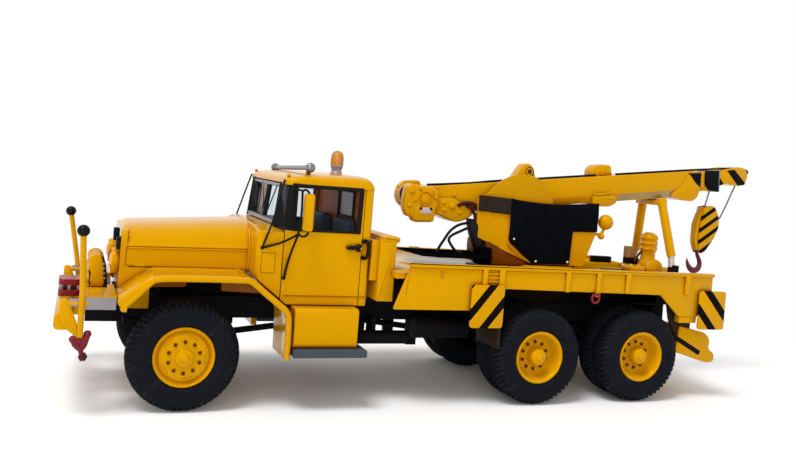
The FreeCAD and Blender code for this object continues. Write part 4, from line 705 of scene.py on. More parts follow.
apron = [
    (-11.6, 26.9), (-11.4, 21.2), (-9.0, 23.0), (0.4, 23.3), (0.8, 26.2), (7.4, 26.2), (7.6, 22.6), (18.4, 22.2),
    (14.0, 25.2), (11.6, 26.9),
]
fillet = [
    (10.6, 27.0), (12.0, 26.7), (13.0, 25.9), (15.0, 24.3), (17.9, 22.0), (19.0, 21.0), (18.6, 20.7), (10.8, 26.2),
]
lobe = [
    (-13.2, 22.4), (-12.9, 21.3), (-12.1, 20.8), (-11.0, 21.0), (-9.9, 22.4), (-8.6, 24.2), (-7.4, 25.3),
    (-6.2, 25.95), (-6.6, 26.9), (-9.4, 25.4), (-11.8, 23.4),
]
wings_made, aprons = [wing(s) for s in (-1, 1)], []
for s in (-1, 1):
    wings_made.append(cast(lobe, 0.3, *across(s, 12.4, 24.1), 0.3, steps=3))
    aprons.append(cast(apron, 0.3, *across(s, 12.35, 11.7), 0.1, steps=2))
    wings_made.append(cast(fillet, 0.2, *across(s, 12.4, 19.3), 0.1, steps=2))
# The aprons' orange-brown is painted shade under the wings.
piece("wing_aprons", aprons, enamel("painted_shade_orange_enamel", "9A5C0A", "8A4E08", "5A2E04", 0.35, 0.1, 1500.0), "chassis")
piece("wing_strips", wings_made, yellow_enamel, "chassis", "wings", crease=50)

# Cab roof: one casting in yellow enamel, crowned and rounded to all its rims, lower at the front. It closes
# down on the window frames with hardly a ledge.
roof_x = [17.75, 17.85, 18.1, 18.6, 19.3, 20.4, 22.5, 26.0, 30.0, 33.4, 35.0, 35.7, 36.2, 36.6, 36.8]
roof_tops = [46.8, 47.1, 47.35, 47.6, 47.8, 48.0, 48.2, 48.38, 48.5, 48.56, 48.5, 48.3, 47.9, 47.2, 46.3]
roof_halves = [17.6, 18.2, 18.7, 19.15, 19.45, 19.66, 19.7, 19.7, 19.7, 19.7, 19.7, 19.68, 19.62, 19.5, 19.3]
roof_foot, roof_power_y, roof_power_z = 45.75, 2 / 7, 2 / 5


def roof_surface():
    """Cross rings: y = w sgn(cos a) |cos a|^(2/7), z = foot + (top - foot) |sin a|^(2/5)."""
    a = np.linspace(0, math.pi, 41)
    rings = []
    for x, top, half_width in zip(roof_x, roof_tops, roof_halves):
        y = half_width * np.sign(np.cos(a)) * np.abs(np.cos(a)) ** roof_power_y
        z = roof_foot + (top - roof_foot) * np.abs(np.sin(a)) ** roof_power_z
        rings.append(np.stack([np.full(41, x), y, z], 1))
    return skin(rings)


piece("roof_shell", [roof_surface()], yellow_enamel, "chassis", "cab_roof", crease=50)
knobs = [ball((18.6, s * 17.6, 47.6), 0.42, 14) for s in (-1, 1)]
piece("roof_knobs", knobs, yellow_enamel, "chassis", crease=60)

# Windscreen: a thin soldered frame that leans back, under satin blue-grey enamel, with black ribbed weather
# cloth folded round both corners. The bright strips over and under the panes are bare metal.
frame_blue, ribbed_black, strip_grey = "23252C", "08090B", "8F8D97"
frame_paint = enamel("satin_blue_grey_enamel", frame_blue, "2E3138", ribbed_black, 0.4, 0.2, 2000.0)
cloth_black = plain_paint("ribbed_black_cloth", ribbed_black, 0.55, 0.12)
pale_strip = plain_paint("pale_bare_metal", strip_grey, 0.38, 0.4, 0.35)
rounded_cad("windscreen_frame", frame_paint, plate_edge)
fold_least, fold_depth, fold_turns, cloth_lean = 0.1, 0.17, 5.5, 0.75


def ribbed_corner(side):
    """A folded cloth round the corner post: the plan line from the screen to the door is set out by
    0.1 + 0.17 |sin 5.5 pi u|^0.6, so it has deep narrow folds. Its top lies 0.75 mm back at the screen, and
    its foot stands 0.25 mm forward."""
    plan = np.array([(16.95, 14.7), (17.2, 15.4), (17.95, 16.7), (18.55, 18.1), (19.3, 19.3), (20.35, 19.78)])
    u = np.linspace(0, 1, 67)
    line = smooth_line(plan, 67)
    run = np.gradient(line, axis=0)
    run /= np.linalg.norm(run, axis=1, keepdims=True)
    out = np.stack([-run[:, 1], run[:, 0]], 1)
    rings = []
    for z in np.linspace(37.0, 46.1, 9):
        low = (46.1 - z) / 9.1
        fold = fold_least + fold_depth * np.abs(np.sin(fold_turns * math.pi * u)) ** 0.6
        front = line + out * fold[:, None] + np.array([cloth_lean * (1 - low), 0.0]) * (1 - u[:, None])
        front = front + np.array([-0.25 * low, 0.05 * low])
        back = line[::-1] - out[::-1] * 0.25 + np.array([cloth_lean * (1 - low), 0.0]) * u[:, None]
        ring = np.vstack([front, back])
        rings.append(np.stack([ring[:, 0], side * ring[:, 1], np.full(len(ring), z)], 1))
    return skin(rings)


piece("weather_cloth", [ribbed_corner(s) for s in (-1, 1)], cloth_black, "chassis", crease=50)
strips = [
    box_slab(17.75, 18.25, -15.0, 15.0, 45.1, 46.2, 0.15, 0.08),
    box_slab(16.75, 17.2, -15.0, 15.0, 37.15, 37.95, 0.15, 0.08),
]
piece("screen_strips", strips, pale_strip, "chassis")
wipers = []
for y0, y1 in ((-11.5, -7.5), (-4.5, -1.5), (11.0, 7.0), (5.0, 2.5)):
    wipers.append(tube([(17.7, y0, 45.2), (17.35, (y0 + y1) / 2, 42.6), (16.85, y1, 39.6)], 0.13, 8))
piece("wiper_arms", wipers, gloss_black, "chassis")

# Door windows and handles: a black rubber frame stands a little proud round each opening. The enamelled door
# carries a black turned handle on a round rose and a bowed grab handle on two feet behind it. Brown lines
# of painted shade mark the sill and a small hatch ahead of the door.
rubber_black_trim = plain_paint("black_window_rubber", "090707", 0.45, 0.15)
seal_outer = [(19.75, 36.35), (34.35, 36.35), (34.5, 46.1), (19.95, 46.1)]
seal_inner = [(20.4, 36.85), (33.5, 36.85), (33.65, 45.25), (20.4, 45.25)]
seals, handles, seams = [], [], []
for s in (-1, 1):
    y = across(s, 19.78, 18.9)
    seals.append(framed(softened(seal_outer, 0.35), softened(seal_inner, 0.25), *y, "y", 0.12))
    gusset = [(19.9, 36.7), (22.6, 36.7), (19.9, 39.4)]
    seals.append(cast(gusset, 0.15, *across(s, 19.7, 19.0), 0.1, steps=2))
    hy = s * 20.05
    handles.append(tube([(31.4, hy, 33.45), (32.2, s * 20.25, 33.5), (33.8, hy, 33.5)], [0.34, 0.5, 0.42]))
    handles.append(ball((34.0, s * 19.9, 33.5), 0.85, 18, 0.6))
    grab = [
        (35.2, s * 19.6, 34.9), (35.7, s * 20.6, 35.0), (35.95, s * 20.75, 33.4), (35.7, s * 20.6, 31.6),
        (35.1, s * 19.6, 31.4),
    ]
    handles.append(tube(grab, 0.36, 10))
    handles += [ball((35.15, s * 19.75, z), 0.5, 12) for z in (34.9, 31.45)]
    seams.append(tube([(18.9, s * 19.72, 23.1), (36.8, s * 19.72, 23.1)], 0.09, 8))
    hatch = [(13.9, 27.65), (16.7, 27.65), (16.7, 31.7), (13.9, 31.7)]
    for (x0, z0), (x1, z1) in zip(hatch, hatch[1:] + hatch[:1]):
        seams.append(tube([(x0, s * 19.5, z0), (x1, s * 19.5, z1)], 0.14, 8))
# The seam lines are painted shade in the sill seam and round the hatch.
piece("cab_seams", seams, groove_shade_paint, "chassis")
piece("window_seals", seals, rubber_black_trim, "chassis")
piece("door_handles", handles, gloss_black, "chassis", crease=50)

# Mirrors: cast plates in yellow enamel, turned to the driver, on soldered wires painted black.
mirror_at, mirror_size, mirror_angle = (22.0, 23.0), (2.4, 7.6, 0.7), math.radians(42)
wire_radius = 0.24
plates, wires = [], []
for s in (-1, 1):
    line = softened(
        [
            (-mirror_size[0] / 2, 36.7), (mirror_size[0] / 2, 36.7), (mirror_size[0] / 2, 44.3),
            (-mirror_size[0] / 2, 44.3),
        ],
        0.7,
    )
    points, faces = slab(line, -mirror_size[2] / 2, mirror_size[2] / 2, "y", 0.2)
    # The plate's width runs outward and to the rear: u along (sin t, cos t), its depth along (cos t, -sin t).
    u, depth, z = points.T
    x = mirror_at[0] + u * math.sin(mirror_angle) + depth * math.cos(mirror_angle)
    y = s * (mirror_at[1] + u * math.cos(mirror_angle) - depth * math.sin(mirror_angle))
    plates.append((np.stack([x, y, z], 1), faces))
    foot, join, head = (13.9, s * 19.55, 32.7), (20.4, s * 22.2, 35.9), (20.6, s * 22.3, 44.8)
    wires.append(tube([foot, (17.4, s * 20.8, 34.0), join], wire_radius, 8))
    wires.append(tube([join, (20.7, s * 22.4, 40.4), head], wire_radius, 8))
    wires.append(tube([join, (21.3, s * 22.9, 35.6), (22.1, s * 23.1, 36.2), (22.0, s * 23.0, 37.0)], wire_radius, 8))
    wires.append(tube([head, (21.3, s * 22.8, 45.0), (22.0, s * 23.0, 44.2)], wire_radius, 8))
    wires.append(tube([head, (19.9, s * 20.6, 44.9), (19.3, s * 19.4, 44.6)], wire_radius, 8))
    wires.append(tube([(18.7, s * 19.75, 26.7), (19.3, s * 20.6, 31.0), join], wire_radius, 8))
    wires.append(tube([foot, (15.6, s * 19.95, 38.5), (17.7, s * 18.3, 46.7)], wire_radius * 0.8, 8))
    wires += [ball(at, 0.42, 12) for at in (foot, join, (18.7, s * 19.6, 26.7))]
piece("mirror_plates", plates, yellow_enamel, "chassis", "mirrors")
piece("mirror_wires", wires, gloss_black, "chassis", crease=60)

# Glass: thin clear film panes in all five openings. They are the CAD panes, clear enough to show the cab, with
# a faint cool tint and a soft shine.
film, tree, output = blank_material("clear_window_film")
ripple = add_node(tree, "ShaderNodeTexNoise", Scale=60.0, Detail=2.0)
bump = add_node(tree, "ShaderNodeBump", Strength=0.04, Distance=0.0002, Height=ripple.outputs["Fac"])
clear = add_node(tree, "ShaderNodeBsdfTransparent", Color="F2F5F7")
shine = add_node(tree, "ShaderNodeBsdfGlossy", Color="FFFFFF", Roughness=0.05, Normal=bump)
backfacing = add_node(tree, "ShaderNodeNewGeometry").outputs["Backfacing"]
facing = add_node(tree, "ShaderNodeMath", {"operation": "SUBTRACT"}, i0=1.0, i1=backfacing)
share = add_node(tree, "ShaderNodeFresnel", IOR=1.13, Normal=bump)
share = add_node(tree, "ShaderNodeMath", {"operation": "MULTIPLY"}, i0=share, i1=facing)
mix = add_node(tree, "ShaderNodeMixShader", i0=share, i1=clear, i2=shine)
tree.links.new(mix.outputs[0], output.inputs[0])
rounded_cad("window_panes", film, film_edge)

# Inside the cab: seats cast in hard resin and painted grey-blue, a red-brown back board with its one window,
# black paint on the dashboard, and a dark floor.
seat_grey, seat_dark = "4C5A68", "343E4A"
board_brown, board_red = "E0681C", "C05418"
seat_paint = enamel("satin_grey_blue_paint", seat_grey, seat_dark, "14181E", 0.5, 0.15, 2400.0)
board_paint = enamel("red_brown_board_paint", board_brown, board_red, board_red, 0.45, 0.15, 1600.0)
dark_trim = enamel("dark_cab_trim_paint", "160C0A", "0E0807", "060404", 0.5, 0.1, 1600.0)
rounded_cad("seats", seat_paint, resin_edge)
rounded_cad("dashboard", dark_trim, trim_edge)
board_outer = softened([(-18.3, 24.2), (18.3, 24.2), (18.3, 45.6), (-18.3, 45.6)], 0.4)
board_hole = softened([(-11.0, 39.4), (-0.8, 39.4), (-0.8, 44.8), (-11.0, 44.8)], 0.5)
piece("cab_back_board", [framed(board_outer, board_hole, 34.95, 35.15, "x", 0.04)], board_paint, "chassis")
lining = [framed(inset(board_hole, -0.45), inset(board_hole, 0.15), 34.7, 34.97, "x", 0.05)]
for y in (0.2, -11.9):
    lining.append(box_slab(34.6, 34.97, y - 0.35, y + 0.35, 37.6, 45.6, 0.1, 0.05))
lining.append(box_slab(19.5, 35.0, -18.4, 18.4, 24.2, 24.5, 0.1, 0.05))
for s in (-1, 1):
    lining.append(box_slab(20.6, 34.4, *across(s, 18.35, 18.15), 24.4, 36.6, 0.2, 0.05))
piece("cab_trim", lining, dark_trim, "chassis")
panel = [box_slab(34.98, 35.12, -10.9, -0.9, 39.5, 44.7, 0.1, 0.03)]
piece("cab_back_pane", panel, plain_paint("pale_grey_board_paint", "EEECF0", 0.4, 0.2), "chassis")

# Roof fittings: a chromed signal tube with a ball at each end on two amber-brown feet, and the beacon, a
# moulded amber dome on a waisted ring of pale bare metal.
chrome_grey, foot_brown = "7C8084", "8A4A10"
chrome = plain_paint("dull_chrome", chrome_grey, 0.25, 0.5, 0.95)
foot_paint = enamel("amber_brown_paint", foot_brown, "A65F14", "5A2E08", 0.35, 0.3, 2000.0)
horn_line = [
    (0.0, -1.05), (0.55, -1.0), (0.92, -0.7), (1.05, -0.2), (0.98, 0.35), (0.7, 0.9), (0.45, 1.3), (0.4, 2.0),
    (0.0, 2.05),
]
bar_x, bar_z, bar_half = 23.1, 49.5, 16.9
bar_dip = 0.4
fittings, feet = [tube([(bar_x, -bar_half, bar_z), (bar_x, bar_half, bar_z - 2 * bar_dip)], 0.52, 16)], []
for s in (-1, 1):
    end_z = bar_z - bar_dip - s * bar_dip
    fittings.append(lathe(horn_line, (bar_x, s * (bar_half + 0.2), end_z), -s, 24))
    feet.append(tube([(bar_x + 0.1, s * 15.4, 47.9), (bar_x, s * 15.4, end_z - 0.4)], [0.62, 0.4], 12))
    feet.append(ball((bar_x, s * 15.4, end_z - 0.35), 0.5, 12))
piece("signal_tube", fittings, chrome, "chassis", "roof_fittings", crease=50)
piece("signal_feet", feet, foot_paint, "chassis", crease=50)
amber_deep = "7E4208"
dome_paint, tree, output = blank_material("moulded_amber_dome")
spot = add_node(tree, "ShaderNodeTexCoord").outputs["Object"]
ribs = add_node(tree, "ShaderNodeTexWave", {"bands_direction": "Z"}, Vector=spot, Scale=500.0)
rim = add_node(tree, "ShaderNodeLayerWeight", Blend=0.35)
tint = mixed(tree, rim.outputs["Facing"], "C8821A", amber_deep)
bump = add_node(tree, "ShaderNodeBump", Strength=0.2, Distance=0.0001, Height=ribs.outputs["Fac"])
resin = add_node(
    tree, "ShaderNodeBsdfPrincipled", Base_Color=tint, Roughness=0.1, Normal=bump,
)
resin.inputs["Subsurface Weight"].default_value = 0.25
resin.inputs["Subsurface Scale"].default_value = 0.0006
tree.links.new(resin.outputs[0], output.inputs[0])
beacon_at = (33.6, 0.0, 48.4)


def lathe_z(profile, centre, around):
    """A (radius, height) line turned about an upright axle."""
    points, faces = lathe(profile, (0, 0, 0), 1, around)
    return points[:, [0, 2, 1]] + np.array(centre), faces


dome_line = [(0.0, 2.0), (1.45, 2.0), (1.5, 2.3), (1.48, 3.8), (1.34, 4.5), (1.0, 5.05), (0.5, 5.32), (0.0, 5.4)]
base_line = [(0.0, 0.0), (1.35, 0.0), (1.42, 0.25), (1.2, 0.5), (1.18, 1.2), (1.4, 1.5), (1.46, 1.95), (0.0, 1.98)]
piece("beacon_dome", [lathe_z(dome_line, beacon_at, 32)], dome_paint, "chassis", "beacon_lens", crease=60)
piece("beacon_ring", [lathe_z(base_line, beacon_at, 32)], pale_strip, "chassis", crease=50)

# Steps: etched sheet under the doors in a dark blue-grey grip paint, gritty like fine sandpaper. They are
# soldered to the side boxes.
step_grey = "42484F"
grip_paint = plain_paint("gritty_blue_grey_paint", step_grey, 0.6, 0.1, 0.0, 0.7)
rounded_cad("step_plates", grip_paint, cast_edge)

# Deck: the bed's floor plate in the yellow enamel on two rails. Below the floor the rails and its underside are
# sprayed black with the chassis.
mm = 1000.0


def striped_enamel(name, direction, start, pitch, share, mask=satin_black, mask_shine=0.04, shine=0.42):
    """The yellow enamel with a mask colour on it wherever fract((p . direction - start) / pitch) < share, p in
    millimetres. The edges stay sharp, as along masking tape."""
    material = yellow_enamel.copy()
    material.name = name
    tree = material.node_tree
    paint = [node for node in tree.nodes if node.bl_idname == "ShaderNodeBsdfPrincipled"][0]
    yellow = paint.inputs["Base Color"].links[0].from_socket
    spot = add_node(tree, "ShaderNodeTexCoord").outputs["Object"]
    run = add_node(tree, "ShaderNodeVectorMath", {"operation": "DOT_PRODUCT"}, i0=spot, i1=direction)
    turns = add_node(
        tree, "ShaderNodeMath", {"operation": "MULTIPLY_ADD"}, i0=run.outputs["Value"], i1=mm / pitch,
        i2=-(start / pitch + direction[0] * axle_x * mm / pitch),
    )
    turns = add_node(tree, "ShaderNodeMath", {"operation": "FRACT"}, i0=turns)
    black = add_node(tree, "ShaderNodeMath", {"operation": "LESS_THAN"}, i0=turns, i1=share)
    tint = mixed(tree, black, yellow, mask)
    level = add_node(tree, "ShaderNodeMapRange", Value=black, i3=shine, i4=mask_shine)
    tree.links.new(tint, paint.inputs["Base Color"])
    tree.links.new(level.outputs[0], paint.inputs["Specular IOR Level"])
    return material


deck_enamel = striped_enamel("deck_enamel_black_below", (0.0, 0.0, 1.0), 0.0, 100.0, 0.275, shine=0.0)
rounded_cad("deck", deck_enamel, plate_edge)
# A glossier plate over the front of the floor: its pale tan colour is a painted sheen, on top of its real gloss.
floor_sheen_paint = enamel("glossy_floor_enamel_painted_sheen", "CFA033", "C09438", painted_shade_orange, 0.2, 0.3, 1500.0)
piece("front_floor_plate", [box_slab(41.6, 71.0, -23.9, 23.6, 29.0, 29.3, 0.1, 0.05)], floor_sheen_paint, "chassis")

# Bed sides: etched sheet in yellow enamel, deep at both ends, with a rolled rim, stakes, a louvred vent, a
# tongue with a crimson shackle ring and a bracket under the rear end.
bed_face, rim_tops = 24.4, {-1: 31.35, 1: 30.0}
side_line = [
    (44.6, 30.8), (41.2, 21.4), (66.6, 21.4), (66.6, 26.3), (108.8, 25.8), (114.4, 20.8), (120.4, 20.8),
    (123.8, 25.8), (123.8, 30.8),
]
rims, vents, recesses, rings, skirts = [], [], [], [], []
for s in (-1, 1):
    top = rim_tops[s]
    line = [(x, min(z, top - 0.6)) for x, z in side_line]
    rims.append(cast(line, 0.4, *across(s, bed_face, 23.7), 0.12))
    rim = [(43.5, top), (44.6, top - 0.95), (124.05, top - 0.95), (124.05, top)]
    rims.append(cast(rim, 0.45, *across(s, 24.95, 23.7), 0.25))
    for x0, x1 in ((61.2, 62.4), (65.2, 66.6), (82.1, 83.3), (90.3, 91.4), (98.3, 99.6), (115.4, 116.9)):
        low = 25.0 if x0 == 90.3 else 26.0
        rims.append(box_slab(x0, x1, *across(s, 24.98, 24.2), low, top - 0.5, 0.2, 0.16))
    for n in range(3):
        z = 27.9 + 0.85 * n
        louvre = [(24.2, z - 0.12), (24.75, z - 0.12), (24.75, z + 0.12), (24.2, z + 0.5)]
        louvre = [(s * y, h) for y, h in louvre]
        rims.append(slab(louvre, 62.3, 65.3, "x", 0.04))
    vents.append(box_slab(62.4, 65.2, *across(s, 24.45, 24.2), 27.6, 30.2, 0.05, 0.02))
    recesses.append(box_slab(51.3, 52.1, *across(s, 24.46, 24.2), 28.3, 29.9, 0.3, 0.04))
    recesses.append(tube([(44.3, s * 24.4, 30.0), (43.7, s * 24.4, 24.6)], 0.1, 8))
    skirts.append(box_slab(114.9, 119.9, *across(s, 24.2, 22.2), 19.15, 20.9, 0.3, 0.15))
    a = np.linspace(0, 2 * math.pi, 25)
    rings.append(tube(np.stack([90.2 + 0.95 * np.cos(a), 0 * a + s * 24.9, 24.7 + 0.95 * np.sin(a)], 1), 0.3, 10))
    rings.append(tube([(90.8, s * 24.5, 25.8), (90.9, s * 25.1, 25.6)], 0.42, 10))
piece("bed_panels", rims, yellow_enamel, "chassis", "bed_sides")
piece("bed_vent_wells", vents, yellow_enamel, "chassis")
# The darker orange in the recesses is painted shade.
piece("bed_recesses", recesses, plain_paint("painted_shade_in_recesses", "C07A0C", 0.4, 0.1), "chassis")
piece("bed_brackets", skirts, yellow_enamel, "chassis")
piece("bed_shackles", rings, crimson_paint, "chassis", crease=60)

# Warning plates: stamped sheet with slanting black stripes masked on the yellow enamel, on the bed's faces
# ahead of the rear wheels and behind them. The stripes lean down to the front ahead and to the rear behind.
stripes_ahead = striped_enamel("front_plate_stripes", (0.786, 0.0, -0.618), 32.45, 4.35, 0.38)
stripes_behind = striped_enamel("rear_plate_stripes", (0.741, 0.0, 0.672), 102.9, 4.7, 0.39)
for name, x0, x1, stripes in (("ahead", 58.6, 66.5, stripes_ahead), ("behind", 119.5, 127.4, stripes_behind)):
    flats, backs = [], []
    for s in (-1, 1):
        flats.append(box_slab(x0, x1, *across(s, 25.49, 24.9), 17.8, 27.2, 0.8, 0.15))
        backs.append(box_slab(x0 + 2.4, x0 + 5.4, *across(s, 24.95, 23.2), 21.0, 26.8, 0.3, 0.1))
    piece("plates_" + name, flats, stripes, "chassis", "warning_plates")
    piece("plate_backs_" + name, backs, yellow_enamel, "chassis")

# Rear bumper: a cast channel that slopes to the rear, its long edges rolled, in yellow enamel. A black line
# runs along each end, and brackets hold it on the chassis ends.
tail_line = [
    (117.1, 18.0), (125.1, 16.3), (126.4, 15.15), (126.7, 13.7), (126.4, 12.8), (127.1, 11.8), (128.2, 11.3),
    (128.5, 9.5), (127.6, 8.8), (125.6, 8.9), (120.5, 10.4), (116.3, 11.5),
]
tail = [cast(tail_line, 0.7, -22.0, 22.0, 0.35)]
for s in (-1, 1):
    tail.append(box_slab(113.0, 118.5, *across(s, 9.0, 7.2), 12.5, 17.5, 0.4, 0.2))
piece("tail_bumper", tail, yellow_enamel, "chassis", "rear_bumper")
lines = [
    cast([(115.6, 16.0), (123.9, 11.8), (123.4, 10.7), (115.2, 14.9)], 0.4, *across(s, 22.04, 21.6), 0.03)
    for s in (-1, 1)
]
piece("tail_lines", lines, black_enamel, "chassis")

# Mud flaps: brown-black rubber sheet hung behind the deep front part of the bed sides, ahead of the wheels. Two
# more sheets hang on each side behind the rear wheels.
flap_brown = "2A1E10"
flap_rubber = plain_paint("brown_black_rubber", flap_brown, 0.6, 0.1)
flaps = []
for s in (-1, 1):
    flaps.append(box_slab(66.2, 66.9, *across(s, 24.2, 13.2), 13.0, 26.4, 0.2, 0.1))
    skirt = [(112.4, 26.0), (120.6, 26.0), (120.6, 17.2), (118.4, 15.6), (116.1, 15.6), (114.0, 19.4)]
    flaps.append(cast(skirt, 0.4, *across(s, 21.4, 20.8), 0.1))
    inner = [(110.6, 25.0), (119.5, 25.0), (119.5, 21.0), (116.5, 18.0), (115.5, 15.5), (113.5, 17.0)]
    flaps.append(cast(inner, 0.4, *across(s, 8.6, 8.2), 0.1))
piece("mud_flaps", flaps, flap_rubber, "chassis")

# Headboard: the CAD boxes in yellow enamel, with a folded sheet over their rear whose top rolls back over the
# bed's front edge.
roll = [
    (39.2, 35.0), (41.9, 34.6), (42.3, 34.9), (42.8, 35.2), (43.0, 35.7), (42.7, 36.2), (41.9, 36.35), (39.0, 36.2),
]
board = [box_slab(38.5, 42.15, -21.15, 21.15, 22.5, 35.4, 0.2, 0.25), cast(roll, 0.3, -21.2, 21.2, 0.4)]
piece("headboard_roll", board, yellow_enamel, "chassis", crease=50)

# Turret: the CAD housing in yellow enamel. Along the boom's slot lies a rolled edge, and the left nose plate
# carries a brown-black leather flap glued over its upper half.
flap_leather = plain_paint("brown_black_leather", "241812", 0.55, 0.12, 0.0, 0.4)


def leather_flap():
    """Rings along the nose plate: y = -6.55 - 0.234 (x - 67.6) + 0.12 sin 2.1 x, so the flap waves a little."""
    rings = []
    for x in np.linspace(67.5, 75.1, 16):
        y = -6.55 - 0.234 * (x - 67.6) + 0.12 * math.sin(2.1 * x)
        low, high = 42.35 - 0.05 * (x - 67.6), 46.15 - 0.04 * (x - 67.6)
        rings.append(
            [
                (x, y, low), (x, y - 0.25, low + 0.1), (x, y - 0.3, high - 0.1), (x, y - 0.1, high),
                (x, y + 0.3, high - 0.1), (x, y + 0.3, low),
            ]
        )
    return skin(rings)


piece("nose_flap", [leather_flap()], flap_leather, "turret", crease=50)
edges = [tube([(75.4, -8.15, 35.6), (75.6, -8.2, 34.4), (79.0, -8.1, 32.0), (82.6, -8.1, 30.4)], 0.22, 8)]
edges.append(tube([(75.35, -8.1, 42.0), (75.3, -8.15, 38.6), (75.4, -8.15, 35.6)], 0.22, 8))
piece("housing_edges", edges, yellow_enamel, "turret", crease=60)

# Canvas apron: waxed navy-black cloth drawn over each side of the housing. It is glued along its edges, with
# white rivets at three corners, and its middle lies in soft creases.
canvas_navy, canvas_black = "0C0F17", "06070B"
canvas_top = [(75.2, 45.9), (78.1, 45.45), (83.8, 45.15), (89.3, 45.16), (94.4, 45.6), (99.9, 46.1)]
canvas_low = [(75.2, 35.7), (75.6, 35.4), (82.2, 30.3), (92.6, 30.45), (92.85, 38.7), (99.9, 38.9)]
canvas_cloth, tree, output = blank_material("waxed_navy_canvas")
spot = add_node(tree, "ShaderNodeTexCoord").outputs["Object"]
faded = add_node(tree, "ShaderNodeTexNoise", Vector=spot, Scale=160.0, Detail=3.0)
tint = mixed(tree, faded.outputs["Fac"], canvas_black, canvas_navy)
weave = add_node(tree, "ShaderNodeTexNoise", Vector=spot, Scale=5000.0, Detail=1.0)
bump = add_node(tree, "ShaderNodeBump", Strength=0.25, Distance=0.00004, Height=weave.outputs["Fac"])
# Wax leaves the cloth a dull sheen, so a crease shows as a slightly paler line.
cloth = add_node(
    tree, "ShaderNodeBsdfPrincipled",
    Base_Color=tint, Roughness=0.6, Specular_IOR_Level=0.02, Normal=bump,
)
tree.links.new(cloth.outputs[0], output.inputs[0])


def canvas_sheet(side):
    """Columns over the housing's side. The cloth stands out by 0.15 + 0.2 B (1 + sin(0.9 x + 1.3 z) / 2
    + sin(1.7 x - 0.8 z + 1) / 3), where B = sin(pi v)^0.5 falls to 0 at the low and high edges v = 0, 1."""
    columns = np.unique(np.concatenate([np.linspace(75.2, 99.9, 70), [75.6, 82.2, 92.6, 92.85]]))
    v = np.linspace(0, 1, 26)
    rings = []
    for x in columns:
        low, high = np.interp(x, *np.transpose(canvas_low)), np.interp(x, *np.transpose(canvas_top))
        z = low + (high - low) * v
        fold = 1 + np.sin(0.9 * x + 1.3 * z) / 2 + np.sin(1.7 * x - 0.8 * z + 1) / 3
        out = 8.2 + 0.15 + 0.2 * np.sqrt(np.clip(np.sin(math.pi * v), 0, 1)) * fold
        front = np.stack([0 * z + x, side * out, z], 1)
        back = np.stack([0 * z + x, 0 * z + side * 8.0, z], 1)[::-1]
        rings.append(np.vstack([front, [[x, side * 7.9, high + 0.05]], back]))
    return skin(rings)


piece("canvas_cloth", [canvas_sheet(s) for s in (-1, 1)], canvas_cloth, "turret", "canvas_apron", crease=50)
rivets = [
    ball((x, s * 8.45, z), 0.3, 12, 0.7)
    for s in (-1, 1) for x, z in ((76.6, 36.2), (83.05, 31.0), (92.0, 31.1))
]
rivet_paint = plain_paint("white_rivet_heads", "D8D8D4", 0.4, 0.3)
piece("canvas_rivets", rivets, rivet_paint, "turret", crease=60)

# Mesh guard: woven yellow wire gauze, cut round over the boom's hinge and standing on the housing beside the
# boom. The wires run level, with brown between them that is painted shade. The pulley's two cheeks stand up on the
# boom behind.
# The gauze's brown stripes are painted shade between the wires.
gauze = striped_enamel("yellow_wire_gauze", (0.03, 0.0, 1.0), 0.0, 0.42, 0.36, "A0740A", 0.2, 0.2)
guard_line = [
    (69.3, 45.9), (70.1, 46.9), (71.5, 48.4), (73.7, 50.2), (75.7, 51.2), (77.7, 51.7), (80.9, 51.8), (82.8, 51.4),
    (84.8, 50.1), (86.7, 48.3), (87.9, 46.2), (88.2, 44.0), (86.0, 42.6), (72.0, 42.6), (69.0, 44.2),
]
piece("gauze_guard", [cast(guard_line, 0.5, -6.15, -5.4, 0.12)], gauze, "turret", "mesh_guards", crease=60)
eye_line = [(79.0, 50.8), (80.3, 52.9), (81.4, 54.4), (82.4, 54.8), (83.5, 54.3), (84.3, 52.8), (85.0, 50.8)]
piece("pulley_cheeks", [cast(eye_line, 0.4, -1.9, 1.9, 0.3)], yellow_enamel, "boom")
eye = [
    (0.0, 0.1), (0.35, 0.1), (0.5, 0.0), (0.55, 0.2), (1.0, 0.2), (1.1, 0.05), (1.25, 0.15), (1.25, 0.5), (0.0, 0.5),
]
eyes = [lathe(eye, (82.95, s * 2.05, 52.75), -s, 24) for s in (-1, 1)]
piece("pulley_eyes", eyes, plain_paint("dark_brown_pin", "3A1C10", 0.4, 0.2), "boom", crease=50)

# Hose plate: thin black sheet on the turret's front, wider on the far side, with the black block that the
# hoses come out of. It passes just over the bed's rims.
plate_plan = [(50.9, 2.2), (51.9, -11.4), (55.6, -13.3), (66.0, -13.4), (70.4, -10.6), (70.4, 4.0), (66.0, 3.6)]
hose_plate = [slab(softened(plate_plan, 0.6), 31.45, 31.8, "z", 0.1)]
hose_plate.append(box_slab(67.9, 70.7, -9.2, -4.4, 29.7, 33.8, 0.3, 0.2))
plate_black = plain_paint("dead_flat_black", "08080A", 0.7, 0.0)
piece("hose_plate", hose_plate, plate_black, "turret", "turret_platform")

